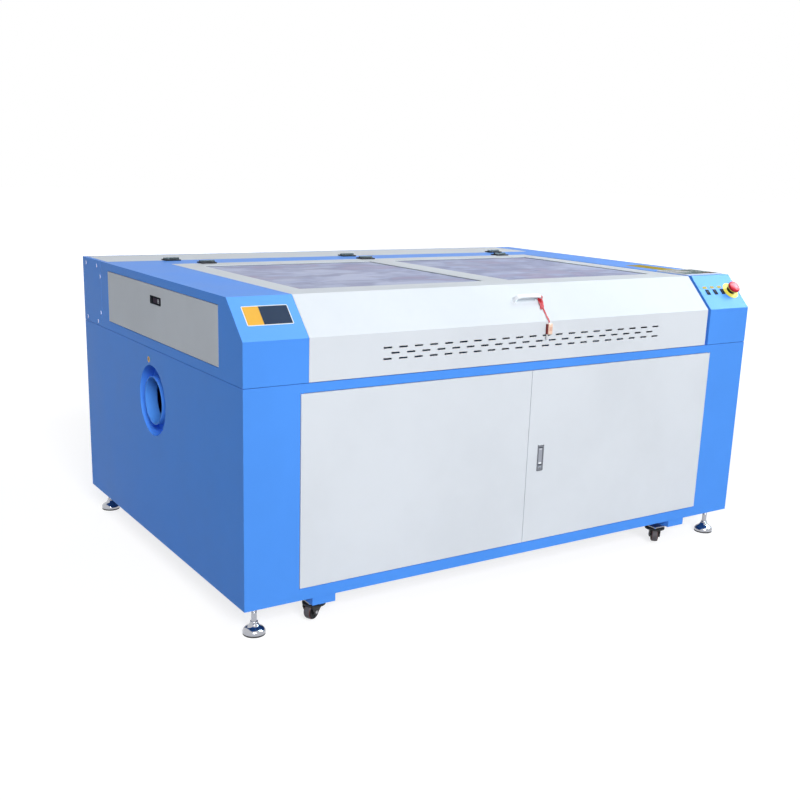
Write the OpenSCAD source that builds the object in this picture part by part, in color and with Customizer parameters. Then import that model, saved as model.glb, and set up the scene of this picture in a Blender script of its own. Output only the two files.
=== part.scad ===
/* [Machine] */
// Overall width of the cabinet
machine_w = 1900; // [1750:10:2300]
// Overall depth of the cabinet
machine_d = 1320; // [1250:10:1600]
// Clearance between the ground and the cabinet
ground_gap = 90; // [86:1:110]
// Height of the lower cabinet
cabinet_h = 610; // [500:5:740]
// Height of the upright front of the upper housing
knee_h = 120; // [116:1:150]
// Rise of the sloping front
slope_h = 102; // [96:1:130]
// Run of the sloping front
slope_run = 100; // [85:1:115]
// Thickness of the cabinet sheet
sheet_t = 2.5; // [1.5:0.1:3]
// Width of the left end housing
left_end_w = 189; // [180:1:230]
// Width of the right end housing
right_end_w = 186; // [182:1:230]
// Shadow gap between the lower cabinet and the upper housing
seam_gap = 1.5; // [1:0.1:3]

/* [Lid] */
// Gap between the lid and the left end housing
lid_gap_left = 1; // [0.8:0.1:3]
// Gap between the lid and the right end housing
lid_gap_right = 14; // [2:0.5:16]
// Depth of the blue bar behind the lid
bar_d = 124; // [100:1:140]
// Depth of the tube bay behind the bar
bay_d = 227; // [200:1:260]
// Margin between a window and the lid's side edge
window_margin = 76; // [60:1:120]
// Width of the bar between the two windows
window_bar = 96; // [70:1:140]
// Depth of a window
window_d = 674; // [500:1:690]
// Margin between the windows and the lid's back edge
window_back = 92; // [80:1:130]
// Thickness of the window sheet
window_t = 5; // [3:0.5:8]
// Length of a vent slot
slot_l = 28; // [20:1:34]
// Height of a vent slot
slot_h = 5; // [4:0.5:7]
// Distance between vent slots
slot_pitch = 51.25; // [45:0.25:56]
// Slots in the long vent rows
slot_count = 21; // [11:2:23]
// Distance between the vent rows
slot_row = 15.6; // [12:0.2:18]
// Height of the middle vent row above the seam
slot_z = 62.5; // [50:0.5:70]
// Length of the lid handle
handle_l = 104; // [90:1:140]

/* [Hinges] */
// Length of a lid or cover hinge
hinge_l = 54; // [40:1:90]
// Width of one hinge leaf
hinge_leaf = 22; // [16:1:34]
// Radius of a hinge knuckle
knuckle_r = 5; // [3.5:0.1:5.5]
// Radius of a hinge pin
hinge_pin_r = 2; // [1.2:0.1:2.5]
// Distance between the lid hinges
lid_hinge_pitch = 628; // [500:5:680]
// Distance between the cover hinges
cover_hinge_pitch = 700; // [500:5:740]
// Radial running clearance of pins and shafts
fit = 0.05; // [0.03:0.01:0.1]

/* [Doors and side panel] */
// Margin between the doors and the cabinet's sides
door_margin = 167; // [150:1:200]
// Height of the sill under the doors
sill_h = 36; // [30:1:60]
// Height of the header above the doors
header_h = 27; // [22:1:50]
// Gap around a door
door_gap = 2; // [1.5:0.1:3]
// Thickness of a door
door_t = 18; // [14:1:24]
// Height of the left side panel
side_panel_h = 164; // [140:1:166]
// Length of the left side panel
side_panel_l = 898; // [700:2:920]
// Height of the side panel above the seam
side_panel_z = 31; // [28:1:34]
// Distance between the side panel and the front face
side_panel_y = 152; // [140:1:170]
// Outer radius of the exhaust collar
exhaust_r = 75; // [60:1:80]
// Radius of the exhaust recess
exhaust_recess_r = 113; // [100:1:116]
// Depth of the exhaust recess
exhaust_depth = 42; // [36:1:90]
// Height of the exhaust above the cabinet's bottom
exhaust_z = 448; // [300:1:460]

/* [Gantry and laser] */
// Distance from the machine's middle to each Y rail
rail_x = 705; // [600:1:705]
// Height of the tubes that carry the rails
rail_tube_h = 90; // [90:1:94]
// Height of the bed's top above the deck
bed_h = 85; // [70:1:86]
// Length of the bed
bed_l = 1300; // [1000:10:1300]
// Depth of the bed
bed_w = 880; // [700:10:880]
// Radius of the laser tube
tube_r = 40; // [30:1:42]
// Length of the laser tube
tube_l = 1480; // [1200:10:1500]
// Radius of the drive shaft
shaft_r = 6; // [5:0.5:7]
// Radius of a belt pulley
pulley_r = 12; // [10:0.5:13]
// Radius of the lens tube
lens_r = 15; // [12:0.5:16]

/* [Feet and casters] */
// Distance from a levelling foot to the cabinet's side
foot_inset_x = 50; // [40:1:70]
// Distance from a levelling foot to the cabinet's front or back
foot_inset_y = 46; // [40:1:60]
// Radius of a levelling foot's base
foot_r = 32; // [25:1:36]
// Radius of a levelling foot's stem
stem_r = 8; // [6:0.5:10]
// Width of a cross channel under the cabinet
beam_w = 73; // [66:1:90]
// Height of a cross channel
beam_h = 24; // [22:1:26]
// Radius of a caster wheel
wheel_r = 24; // [20:0.5:25]
// Width of a caster wheel
wheel_w = 24; // [18:1:26]

/* [Controls] */
// Radius of the emergency stop's head
estop_r = 22; // [16:0.5:24]
// Length of a rocker switch
rocker_l = 21; // [18:0.5:24]
// Width of a rocker switch
rocker_w = 15; // [12:0.5:18]
// Distance between the rocker switches
rocker_pitch = 36; // [28:1:38]

/* [Hidden] */
$fn = 64;

BLUE = [0.33, 0.60, 1.0];
WHITE = [0.90, 0.93, 0.97];
GREY = [0.62, 0.68, 0.72];
DARK = [0.16, 0.16, 0.18];
STEEL = [0.72, 0.74, 0.77];
ALUMINIUM = [0.80, 0.82, 0.84];

// Clear gap between pieces that move past each other
clear = 0.4;

// Gap between pieces that are bolted on or dropped in and rest on each other
seat = 0.1;

// Main planes
x_left = -machine_w / 2;
x_right = machine_w / 2;
y_front = -machine_d / 2;
y_back = machine_d / 2;
z_floor = ground_gap;
z_seam = ground_gap + cabinet_h;
z_upper = z_seam + seam_gap;
z_knee = z_seam + knee_h;
z_top = z_knee + slope_h;
slope_a = atan2(slope_h, slope_run);

// Lid, bar and tube bay
end_left_x = x_left + left_end_w;
end_right_x = x_right - right_end_w;
lid_x0 = end_left_x + lid_gap_left;
lid_x1 = end_right_x - lid_gap_right;
lid_mid = (lid_x0 + lid_x1) / 2;
bay_y = y_back - bay_d;
bar_y = bay_y - bar_d;
edge_gap = 1;
lid_back = bar_y - edge_gap;
lid_flange = 25;
bay_floor_z = z_top - 160;
bay_rim_left = 15;
bay_rim_right = 82;
bay_rim_back = 10;
cover_x0 = x_left + bay_rim_left;
cover_x1 = x_right - bay_rim_right;
cover_mid = (cover_x0 + cover_x1) / 2;
hinge_z = z_top + knuckle_r;
leaf_t = 4;
lid_hinge_y = bar_y - edge_gap / 2;
cover_hinge_y = bay_y + edge_gap / 2;
cover_hinge_x = cover_mid + 22;
// Knuckles with even numbers belong to the fixed leaf, those with odd numbers to the moving leaf
knuckle_count = 5;
knuckle_l = hinge_l / knuckle_count;
knuckle_gap = 0.15;
window_y1 = lid_back - window_back;
window_y0 = window_y1 - window_d;
window_mid = lid_mid + 10;

// Doors
door_x0 = x_left + door_margin;
door_x1 = x_right - door_margin - 3;
door_mid = 1.2;
door_z0 = z_floor + sill_h;
door_z1 = z_seam - header_h;
door_proud = 1;
door_pin_r = 3;
door_pin_in = 4.5;
door_pin_y = y_front + 3;
jamb_d = 22;

// Flush latch on the right door
latch_x = door_mid + 52;
latch_z = z_floor + 305.5;
latch_w = 24;
latch_h = 84;
paddle_w = 13.6;
paddle_h = 56;
paddle_pin_z = latch_z + 29;
paddle_pin_half = paddle_w / 2 + 1.5;
paddle_pin_r = 1.2;

// Side panel on the left end housing
side_y0 = y_front + side_panel_y;
side_y1 = side_y0 + side_panel_l;
side_z0 = z_seam + side_panel_z;
side_z1 = side_z0 + side_panel_h;
side_gap = 2;
side_depth = 12;
side_pin_r = 2.5;
side_pin_x = x_left + 3.5;
side_pin_z = side_z0 + 4.5;
side_latch_y = side_y0 + 457;
side_latch_z = side_z1 - 43;
side_latch_l = 86;
side_latch_h = 24;
side_latch_rim = 4;
side_skin = 2;

// End cover over the tube bay's left end
end_cover_y = y_back - 197;
end_cover_gap = 1.5;

// Exhaust
exhaust_y = 0;
exhaust_mid_z = z_floor + exhaust_z;
exhaust_wall = 3;

// Rails, belts and gantry
rail_tube_w = 36;
rail_tube_top = z_seam + rail_tube_h;
rail_h = 13;
rail_w = 15;
rail_y0 = y_front + 60;
rail_y1 = bar_y + 63;
belt_x = rail_x - 33;
belt_w = 12;
belt_t = 1.5;
belt_z = rail_tube_top - 20;
shaft_y = bar_y + 41;
idler_y = rail_y0 + 25;
idler_pin_r = 5;
gantry_y = bar_y + 31;
gantry_half = rail_x + 21;
block_y = 40;
beam_z0 = rail_tube_top + rail_h + 32;
beam_z1 = beam_z0 + 40;
beam_y = 30;
x_rail_z = beam_z0 + 20;
beam_line_z = beam_z0 + 20;
head_y = 97;
mirror_x = -(rail_x + 7);

// Laser tube
tube_y = (bay_y + y_back) / 2;
tube_x0 = mirror_x + 72;

// Gas struts that hold the lid
strut_x = rail_x + 31;
strut_foot = [bar_y - 69, rail_tube_top - 5];
strut_head = [bar_y - 419, z_top - 32];
strut_len = norm(strut_head - strut_foot);
strut_angle = atan2(strut_head[1] - strut_foot[1], strut_head[0] - strut_foot[0]);
strut_pin_r = 4;
strut_rod_r = 4;
strut_body_r = 8.5;
strut_eye_r = 8;

// Bed
bed_y0 = y_front + 98;
bed_z1 = z_seam + bed_h;

// Inlet and cable glands in the back panel
inlet_x = x_right - 150;
inlet_z = z_floor + 110;
inlet_w = 48;
inlet_h = 28;
gland_x = x_right - 260;
gland_r = 9;
gland_pitch = 60;

// Controls on the right slope, measured up the slope from the knee
estop_x = x_right - 39;
estop_s = 73;
estop_stem_r = 6;
estop_tip_r = 4;
estop_head_z = 11;
rocker_x = estop_x - 41;
rocker_s = 71;
rocker_d = 18;
rocker_pin_z = -3;
rocker_room = rocker_l / 2 - 2;
rocker_body_r = rocker_room - clear;
rocker_wall = 1.6;
rocker_half = rocker_w / 2 - 1 - rocker_wall;
rocker_pin_r = 1.2;
rocker_pin_half = rocker_half + 1.2;
keypad_x = x_right - 98;
keypad_y = y_front + 190;
keypad_l = 173;
keypad_w = 140;

// Handle and key on the lid slope
handle_x = 5;
handle_s = 80;
handle_rise = 26;

// Feet and casters
foot_top = z_floor + 60;
channel_x = [x_left + 245, x_right - 251];
caster_x = [x_left + 238, x_right - 302];
caster_y = machine_d / 2 - 48;
caster_turn = [-65, -42, -30, -80];
plate_z = z_floor - beam_h - 2 * seat;
plate_t = 3;
kingpin_r = 5;
fork_z = plate_z - 5.3;
wheel_trail = 12;
wheel_z = fork_z - 3 - 1.4 - wheel_r;
axle_r = 4;

// Route of the key's cord, from the handle down the slope and over the knee
CORD_R = 1.4;
CORD_ROUTE = [
  [55, -611, 884], [55.5, -614.5, 881], [56, -617, 876.5], [55.5, -618.8, 871], [55, -621, 866],
  [54.5, -623.6, 861.5], [54, -626.6, 857.4], [54, -630, 853.6], [53.5, -633.5, 850], [53, -637, 846.4],
  [53, -640.5, 842.8], [52.5, -644, 839.2], [52.5, -647.5, 835.7], [52.5, -651, 832.1], [52.5, -654.5, 828.6],
  [52.5, -658, 825], [52.5, -661, 821.5], [52.5, -662.5, 817.5], [52.5, -663, 814]
];

// Offset of the folded front outline by a depth d, at the knee and at the crest
function knee_in(d) = [y_front + d, z_knee + d * ((1 - sin(slope_a)) * tan(slope_a) - cos(slope_a))];
function crest_in(d) =
  [y_front + d * sin(slope_a) + (slope_h - d * (1 - cos(slope_a))) / tan(slope_a), z_top - d];

// A box between two opposite corners
module block(lo, hi) {
  translate(lo) cube(hi - lo);
}

// Extrudes a drawing whose plane is Y and Z along X
module along_x(x0, x1) {
  translate([x0, 0, 0]) rotate([90, 0, 90]) linear_extrude(x1 - x0) children();
}

// Extrudes a drawing whose plane is X and Z along Y
module along_y(y0, y1) {
  translate([0, y1, 0]) rotate([90, 0, 0]) linear_extrude(y1 - y0) children();
}

// A round bar along X
module rod_x(x0, x1, r) {
  translate([x0, 0, 0]) rotate([0, 90, 0]) cylinder(h = x1 - x0, r = r);
}

// A round bar along Y
module rod_y(y0, y1, r) {
  translate([0, y1, 0]) rotate([90, 0, 0]) cylinder(h = y1 - y0, r = r);
}

// Places a piece on the sloping front: X stays, Y runs up the slope, Z stands out of it
module on_slope(x, s) {
  translate([x, y_front + s * cos(slope_a), z_knee + s * sin(slope_a)]) rotate([slope_a, 0, 0]) children();
}

// The outline of the folded front and top, as a strip of a depth
module front_strip(depth, z_low, y_end) {
  polygon([
    [y_front, z_low], [y_front, z_knee], [y_front + slope_run, z_top], [y_end, z_top],
    [y_end, z_top - depth], crest_in(depth), knee_in(depth), [y_front + depth, z_low]
  ]);
}

// The whole side of the upper housing
module side_outline(y_end) {
  polygon([
    [y_front, z_upper], [y_front, z_knee], [y_front + slope_run, z_top], [y_end, z_top], [y_end, z_upper]
  ]);
}

// A folded sheet pan that is open towards +Y
module pan_y(lo, hi, t) {
  difference() {
    block(lo, hi);
    block(lo + [t, t, t], hi + [-t, 1, -t]);
  }
}

// ---- Lower cabinet ----

// One cross channel, closed at its ends and open underneath
module cross_channel(x) {
  wall = 3;
  lo = [x - beam_w / 2, y_front + 2, z_floor - beam_h];
  hi = [x + beam_w / 2, y_back - 2, z_floor - seat];
  difference() {
    block(lo, hi);
    block(lo + [wall, wall, -1], hi - [wall, wall, wall]);
  }
}

module caster_plate(x, y) {
  half = 30;
  translate([x, y, 0]) {
    translate([0, 0, plate_z - plate_t]) translate([-half, -half, 0]) cube([2 * half, 2 * half, plate_t]);
    translate([0, 0, fork_z - 3.3]) cylinder(h = plate_z - plate_t - fork_z + 3.5, r = kingpin_r);
  }
}

function foot_place(i) =
  [(i % 2 == 0 ? 1 : -1) * (x_left + foot_inset_x), (i < 2 ? 1 : -1) * (y_front + foot_inset_y)];
function caster_place(i) = [caster_x[i % 2], (i < 2 ? -1 : 1) * caster_y];

// The bottom sheet, the cross channels bolted under it, and the nuts that the feet screw through
module base_frame() {
  nut_r = 14;
  nut_h = 20;
  nut_z = z_floor + sheet_t + seat;
  color(BLUE) {
    difference() {
      block([x_left + sheet_t, y_front + sheet_t, z_floor],
            [x_right - sheet_t, y_back - sheet_t, z_floor + sheet_t]);
      for (i = [0:3]) translate(concat(foot_place(i), z_floor - 1))
        cylinder(h = sheet_t + 2, r = stem_r + fit);
    }
    for (x = channel_x) cross_channel(x);
    for (i = [0:3]) translate(concat(foot_place(i), nut_z)) difference() {
      cylinder(h = nut_h, r = nut_r);
      translate([0, 0, -1]) cylinder(h = nut_h + 2, r = stem_r + fit);
    }
    for (i = [0:3]) caster_plate(caster_place(i)[0], caster_place(i)[1]);
  }
}

module cabinet_side(x) {
  block([x, y_front + sheet_t, z_floor], [x + sheet_t, y_back - sheet_t, z_seam]);
}

module cabinet_left_panel() {
  color(BLUE) difference() {
    cabinet_side(x_left);
    translate([0, exhaust_y, exhaust_mid_z]) rod_x(x_left - 1, x_left + sheet_t + 1, exhaust_recess_r);
  }
}

module cabinet_right_panel() {
  color(BLUE) cabinet_side(x_right - sheet_t);
}

module cabinet_back_panel() {
  color(BLUE) difference() {
    block([x_left, y_back - sheet_t, z_floor], [x_right, y_back, z_seam]);
    block([inlet_x - inlet_w / 2, y_back - 10, inlet_z - inlet_h / 2],
          [inlet_x + inlet_w / 2, y_back + 1, inlet_z + inlet_h / 2]);
    for (i = [0, 1])
      translate([gland_x - i * gland_pitch, 0, inlet_z]) rod_y(y_back - 10, y_back + 1, gland_r);
  }
}

// Pins at the outer corners of the door opening, on which the doors swing
module door_pins(grow, z_low, z_high) {
  for (x = [door_x0 + door_pin_in, door_x1 - door_pin_in])
    translate([x, door_pin_y, z_low]) cylinder(h = z_high - z_low, r = door_pin_r + grow);
}

module front_frame() {
  pin_in = 9;
  x0 = door_x0 - door_gap;
  x1 = door_x1 + door_gap;
  z0 = door_z0 - door_gap;
  z1 = door_z1 + door_gap;
  color(BLUE) {
    difference() {
      union() {
        block([x_left, y_front, z_floor], [x_right, y_front + sheet_t, z_seam]);
        block([x0 - sheet_t, y_front, z0 - sheet_t], [x1 + sheet_t, y_front + jamb_d, z1 + sheet_t]);
      }
      block([x0, y_front - 1, z0], [x1, y_front + jamb_d + 1, z1]);
    }
    door_pins(0, z0 - 1, door_z0 + pin_in);
    door_pins(0, door_z1 - pin_in, z1 + 1);
  }
}

module deck() {
  exhaust_hole_r = 70;
  rear_web = 12;
  color(BLUE) difference() {
    block([x_left + sheet_t, y_front + sheet_t, z_seam - sheet_t],
          [x_right - sheet_t, y_back - sheet_t, z_seam]);
    translate([x_left + 130, bay_y + rear_web, z_seam - 10]) cylinder(h = 20, r = exhaust_hole_r);
  }
}

module exhaust_collar() {
  lip = 0.1;
  mouth = 3;
  floor_x = x_left + exhaust_depth;
  color(BLUE) translate([0, exhaust_y, exhaust_mid_z]) difference() {
    union() {
      difference() {
        rod_x(x_left, floor_x, exhaust_recess_r - lip);
        rod_x(x_left - 1, floor_x - exhaust_wall, exhaust_recess_r - exhaust_wall);
      }
      rod_x(x_left + mouth, floor_x, exhaust_r);
    }
    rod_x(x_left - 1, floor_x + 1, exhaust_r - exhaust_wall);
  }
}

// ---- Upper housing ----

module end_shell(x_wall, x0, x1, x_lip, y_end) {
  lip = 20;
  foot_w = 18;
  foot_x = x_wall < 0 ? x_wall + sheet_t : x_wall - foot_w;
  along_x(x_wall, x_wall + sheet_t) side_outline(y_end);
  along_x(x0, x1) front_strip(sheet_t, z_upper, bay_y);
  along_x(x_lip, x_lip + sheet_t) front_strip(lip, z_upper, bay_y);
  block([foot_x, y_front + 4, z_seam], [foot_x + foot_w, y_end - 4, z_upper + sheet_t]);
}

module left_end_housing() {
  gap = side_gap;
  x_in = x_left + sheet_t;
  color(BLUE) {
    difference() {
      union() {
        end_shell(x_left, x_left, end_left_x, end_left_x - sheet_t, end_cover_y);
        block([x_left, bay_y - 1, z_top - sheet_t], [x_left + bay_rim_left - edge_gap, end_cover_y, z_top]);
        block([x_in - 1, side_y0 - gap - sheet_t, side_z0 - gap - sheet_t],
              [x_in + side_depth, side_y1 + gap + sheet_t, side_z1 + gap + sheet_t]);
      }
      block([x_left - 1, side_y0 - gap, side_z0 - gap],
            [x_in + side_depth + 1, side_y1 + gap, side_z1 + gap]);
    }
    translate([side_pin_x, 0, side_pin_z]) {
      rod_y(side_y0 - gap - 1, side_y0 + 8, side_pin_r);
      rod_y(side_y1 - 8, side_y1 + gap + 1, side_pin_r);
    }
  }
}

module right_end_housing() {
  cut = 15;
  estop_hole_r = 11.2;
  color(BLUE) difference() {
    union() {
      end_shell(x_right - sheet_t, end_right_x, x_right, end_right_x, y_back - sheet_t);
      block([x_right - bay_rim_right + edge_gap, bay_y - 1, z_top - sheet_t],
            [x_right, y_back - sheet_t, z_top]);
    }
    on_slope(estop_x, estop_s) translate([0, 0, -cut]) cylinder(h = 2 * cut, r = estop_hole_r);
    for (i = [1:3]) rocker_place(i)
      translate([-rocker_w / 2 + 1, -rocker_l / 2 + 1, -cut]) cube([rocker_w - 2, rocker_l - 2, 2 * cut]);
    block([keypad_x - keypad_l / 2 + 10, keypad_y - keypad_w / 2 + 10, z_top - cut],
          [keypad_x + keypad_l / 2 - 10, keypad_y + keypad_w / 2 - 10, z_top + 1]);
  }
}

// Bar behind the lid, and the trough that holds the laser tube
module tube_bay() {
  lip = 20;
  x0 = x_left + 2 * sheet_t + side_depth;
  x1 = x_right - sheet_t;
  y1 = y_back - sheet_t;
  wall_x0 = x_left + 32;
  beam_hole_r = 12;
  side_cut = lip + 2;
  color(BLUE) difference() {
    union() {
      block([end_left_x, bar_y, z_top - sheet_t], [end_right_x, bay_y, z_top]);
      block([end_left_x, bar_y, z_top - lip], [end_right_x, bar_y + sheet_t, z_top]);
      block([x0, bay_y - sheet_t, bay_floor_z], [x1, bay_y, z_top - sheet_t]);
      block([x0, bay_y - sheet_t, bay_floor_z], [x1, y1, bay_floor_z + sheet_t]);
      block([wall_x0, y1, z_upper], [x_right, y_back, z_top]);
      block([wall_x0, y_back - bay_rim_back + edge_gap, z_top - sheet_t], [x1, y_back, z_top]);
      block([wall_x0, y1 - 18, z_seam], [x1 - 20, y1 + 1, z_upper + sheet_t]);
    }
    translate([mirror_x, 0, beam_line_z]) rod_y(bay_y - 10, bay_y + 10, beam_hole_r);
    block([x0 - 1, bay_y - 40, z_top - side_cut], [end_left_x, bay_y, z_top + 1]);
    block([end_right_x, bay_y - 40, z_top - side_cut], [x1 + 1, bay_y, z_top + 1]);
    block([x_right - bay_rim_right + edge_gap, bay_y - 40, z_top - sheet_t], [x1 + 1, y1, z_top + 1]);
  }
}

module tube_end_cover() {
  return_w = 31;
  head_r = 4.6;
  head_h = 2;
  side_rows = [[-155, -18], [-38, -18], [-189, -52], [-184, -174], [-150, -207], [-35, -206]];
  color(BLUE) {
    for (p = side_rows)
      translate([0, y_back + p[0], z_top + p[1]]) rod_x(x_left - head_h, x_left + 1, head_r);
    for (z = [-52, -174])
      translate([x_left + return_w / 2, 0, z_top + z]) rod_y(y_back - 1, y_back + head_h, head_r);
    block([x_left, end_cover_y + end_cover_gap, z_upper], [x_left + sheet_t, y_back, z_top]);
    block([x_left, y_back - sheet_t, z_upper], [x_left + return_w, y_back, z_top]);
    block([x_left, end_cover_y + end_cover_gap, z_top - sheet_t],
          [x_left + bay_rim_left - edge_gap, y_back, z_top]);
    block([x_left, y_back - bay_rim_back + edge_gap, z_top - sheet_t], [x_left + return_w, y_back, z_top]);
  }
}

// ---- Bed, rails and drives ----

// A frame on legs, with slats that lie in notches of its end bars
module work_bed() {
  frame_w = 25;
  frame_h = 25;
  slat_w = 5;
  slat_gap = 32;
  notch = 8;
  leg = 30;
  x0 = -bed_l / 2;
  y1 = bed_y0 + bed_w;
  z0 = bed_z1 - frame_h;
  slat_x = bed_l / 2 - frame_w + notch;
  slat_z0 = z0 + 4;
  inner = bed_w - 2 * frame_w;
  slats = floor(inner / slat_gap) - 1;
  step = inner / (slats + 1);
  color(ALUMINIUM) {
    difference() {
      block([x0, bed_y0, z0], [-x0, y1, bed_z1]);
      block([x0 + frame_w, bed_y0 + frame_w, z0 - 1], [-x0 - frame_w, y1 - frame_w, bed_z1 + 1]);
      for (i = [1:slats]) translate([0, bed_y0 + frame_w + i * step, 0])
        block([-slat_x - seat, -slat_w / 2 - seat, slat_z0 - seat],
              [slat_x + seat, slat_w / 2 + seat, bed_z1 + 1]);
    }
    for (i = [1:slats]) translate([0, bed_y0 + frame_w + i * step, 0])
      block([-slat_x, -slat_w / 2, slat_z0], [slat_x, slat_w / 2, bed_z1 - 0.5]);
    for (x = [x0, -leg / 2, -x0 - leg]) for (y = [bed_y0, y1 - leg])
      block([x, y, z_seam], [x + leg, y + leg, z0 + 1]);
  }
}

// One rail tube with its rail, idler pin, strut pin and shaft hole, on the +X side
module y_rail() {
  wall = 3;
  inner_x = rail_x - rail_tube_w / 2;
  outer_x = rail_x + rail_tube_w / 2;
  difference() {
    union() {
      along_y(rail_y0, rail_y1) difference() {
        translate([inner_x, z_seam]) square([rail_tube_w, rail_tube_h]);
        translate([inner_x + wall, z_seam + wall]) square([rail_tube_w - 2 * wall, rail_tube_h - 2 * wall]);
      }
      block([rail_x - rail_w / 2, rail_y0 + 5, rail_tube_top - 1],
            [rail_x + rail_w / 2, rail_y1 - 5, rail_tube_top + rail_h]);
      translate([0, idler_y, belt_z]) rod_x(belt_x - belt_w / 2 - 2, inner_x + 1, idler_pin_r);
      translate([0, strut_foot[0], strut_foot[1]]) rod_x(outer_x - 1, strut_x + 8, strut_pin_r);
    }
    translate([0, shaft_y, belt_z]) rod_x(inner_x - 1, inner_x + wall + 1, shaft_r + fit);
  }
}

module y_rails() {
  color(STEEL) {
    y_rail();
    mirror([1, 0, 0]) y_rail();
  }
}

// Outline of a belt around two pulleys a distance apart, grown by some amount
module belt_outline(distance, r) {
  circle(r);
  translate([distance, 0]) circle(r);
  translate([0, -r]) square([distance, 2 * r]);
}

module belt_loop(distance, r) {
  difference() {
    belt_outline(distance, r + belt_t);
    belt_outline(distance, r);
  }
}

module y_drive() {
  motor = 28;
  motor_half = 36;
  run_clear = 0.35;
  color(DARK) {
    for (s = [-1, 1]) translate([s * belt_x - belt_w / 2, 0, 0])
      along_x(0, belt_w) translate([idler_y, belt_z]) belt_loop(shaft_y - idler_y, pulley_r + run_clear);
    difference() {
      union() {
        block([-motor_half, shaft_y - motor, belt_z - motor], [motor_half, shaft_y + motor, belt_z + motor]);
        block([-motor_half + 4, shaft_y - motor + 4, z_seam], [motor_half - 4, shaft_y + motor - 4, belt_z]);
      }
      translate([0, shaft_y, belt_z]) rod_x(-motor_half - 1, motor_half + 1, shaft_r + fit);
    }
  }
}

module y_drive_shaft() {
  end_x = rail_x - rail_tube_w / 2 + 2.5;
  color(STEEL) translate([0, shaft_y, belt_z]) {
    rod_x(-end_x, end_x, shaft_r);
    for (s = [-1, 1]) translate([s * belt_x, 0, 0]) rod_x(-belt_w / 2 - 1, belt_w / 2 + 1, pulley_r);
  }
}

module y_idlers() {
  color(STEEL) translate([0, idler_y, belt_z]) for (s = [-1, 1]) translate([s * belt_x, 0, 0]) difference() {
    rod_x(-belt_w / 2 - 1, belt_w / 2 + 1, pulley_r);
    rod_x(-belt_w, belt_w, idler_pin_r + fit);
  }
}

// A bearing block that straddles a rail
module rail_block() {
  half = 21;
  difference() {
    block([rail_x - half, -block_y, rail_tube_top + 3], [rail_x + half, block_y, beam_z0]);
    block([rail_x - rail_w / 2 - clear, -block_y - 1, 0],
          [rail_x + rail_w / 2 + clear, block_y + 1, rail_tube_top + rail_h + clear]);
  }
}

module gantry_beam() {
  wall = 3;
  x_rail_end = rail_x - 25;
  motor_room = 50;
  clamp_y = 20;
  color(ALUMINIUM) translate([0, gantry_y, 0]) {
    along_x(-gantry_half, gantry_half) difference() {
      translate([-beam_y, beam_z0]) square([2 * beam_y, beam_z1 - beam_z0]);
      translate([-beam_y + wall, beam_z0 + wall])
        square([2 * (beam_y - wall), beam_z1 - beam_z0 - 2 * wall]);
    }
    block([-x_rail_end + motor_room - 25, -beam_y - 10, x_rail_z - 6], [x_rail_end, -beam_y, x_rail_z + 6]);
    for (s = [0, 1]) mirror([s, 0, 0]) {
      rail_block();
      block([belt_x - belt_w / 2, -clamp_y, belt_z + pulley_r + belt_t + 1],
            [rail_x - 20, clamp_y, rail_tube_top + 8]);
    }
  }
}

// Motor, belt and mirror of the gantry
module x_drive() {
  motor = 42;
  motor_x = -rail_x + 24;
  motor_y = -beam_y - 1 - motor / 2;
  idler_x = rail_x - 15;
  plate = 2.5;
  pulley = 10;
  run_clear = 0.35;
  belt_h = 10;
  z = beam_z1 + plate;
  arm_x = mirror_x - 14;
  color(DARK) translate([0, gantry_y, 0]) {
    block([motor_x - motor / 2, motor_y - motor / 2, beam_z0 + 1],
          [motor_x + motor / 2, motor_y + motor / 2, beam_z1]);
    block([motor_x - motor / 2, motor_y - motor / 2, beam_z1], [motor_x + motor / 2, beam_y - 8, z]);
    translate([motor_x, motor_y, z]) cylinder(h = belt_h + 1, r = pulley);
    block([idler_x - 14, motor_y - 14, beam_z1], [idler_x + 14, beam_y - 8, z]);
    translate([idler_x, motor_y, z]) cylinder(h = belt_h + 1, r = pulley);
    translate([motor_x, motor_y, z + 0.6]) linear_extrude(belt_h - 0.6)
      belt_loop(idler_x - motor_x, pulley + run_clear);
    block([arm_x, -head_y - 15, beam_z0 - 4], [arm_x + 6, -block_y, beam_z1 - 2]);
    translate([mirror_x, -head_y, beam_line_z]) rotate([0, 90, -135]) cylinder(h = 12, r = 14);
  }
}

module carriage() {
  half = 40;
  block_d = 38;
  head_half = 22;
  head_d = 40;
  z0 = beam_z0 - 13;
  z1 = beam_z1 - 3;
  head_z0 = beam_z0 - 20;
  bore_top = beam_z0 + 15;
  y0 = -beam_y - 10 - block_d;
  color(ALUMINIUM) translate([0, gantry_y, 0]) difference() {
    union() {
      block([-half, y0, z0], [half, -beam_y - 3, z1]);
      block([-head_half, y0 - head_d, head_z0], [head_half, y0 + 1, z1]);
    }
    block([-half - 1, -beam_y - 10 - clear, x_rail_z - 6 - clear],
          [half + 1, 0, x_rail_z + 6 + clear]);
    translate([0, -head_y, head_z0 - 1]) cylinder(h = bore_top - head_z0 + 1, r = lens_r + fit);
  }
}

module lens_tube() {
  nozzle_h = 13;
  tip_r = 4;
  z0 = bed_z1 + 8;
  color(ALUMINIUM) translate([0, gantry_y - head_y, 0]) {
    translate([0, 0, z0]) cylinder(h = nozzle_h, r1 = tip_r, r2 = lens_r);
    translate([0, 0, z0 + nozzle_h]) cylinder(h = beam_z0 - z0 - nozzle_h, r = lens_r);
  }
}

module laser_tube() {
  end_r = 14;
  end_l = 30;
  color([0.82, 0.9, 0.95]) translate([0, tube_y, beam_line_z]) {
    rod_x(tube_x0 + end_l, tube_x0 + tube_l - end_l, tube_r);
    rod_x(tube_x0, tube_x0 + tube_l, end_r);
  }
}

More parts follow.
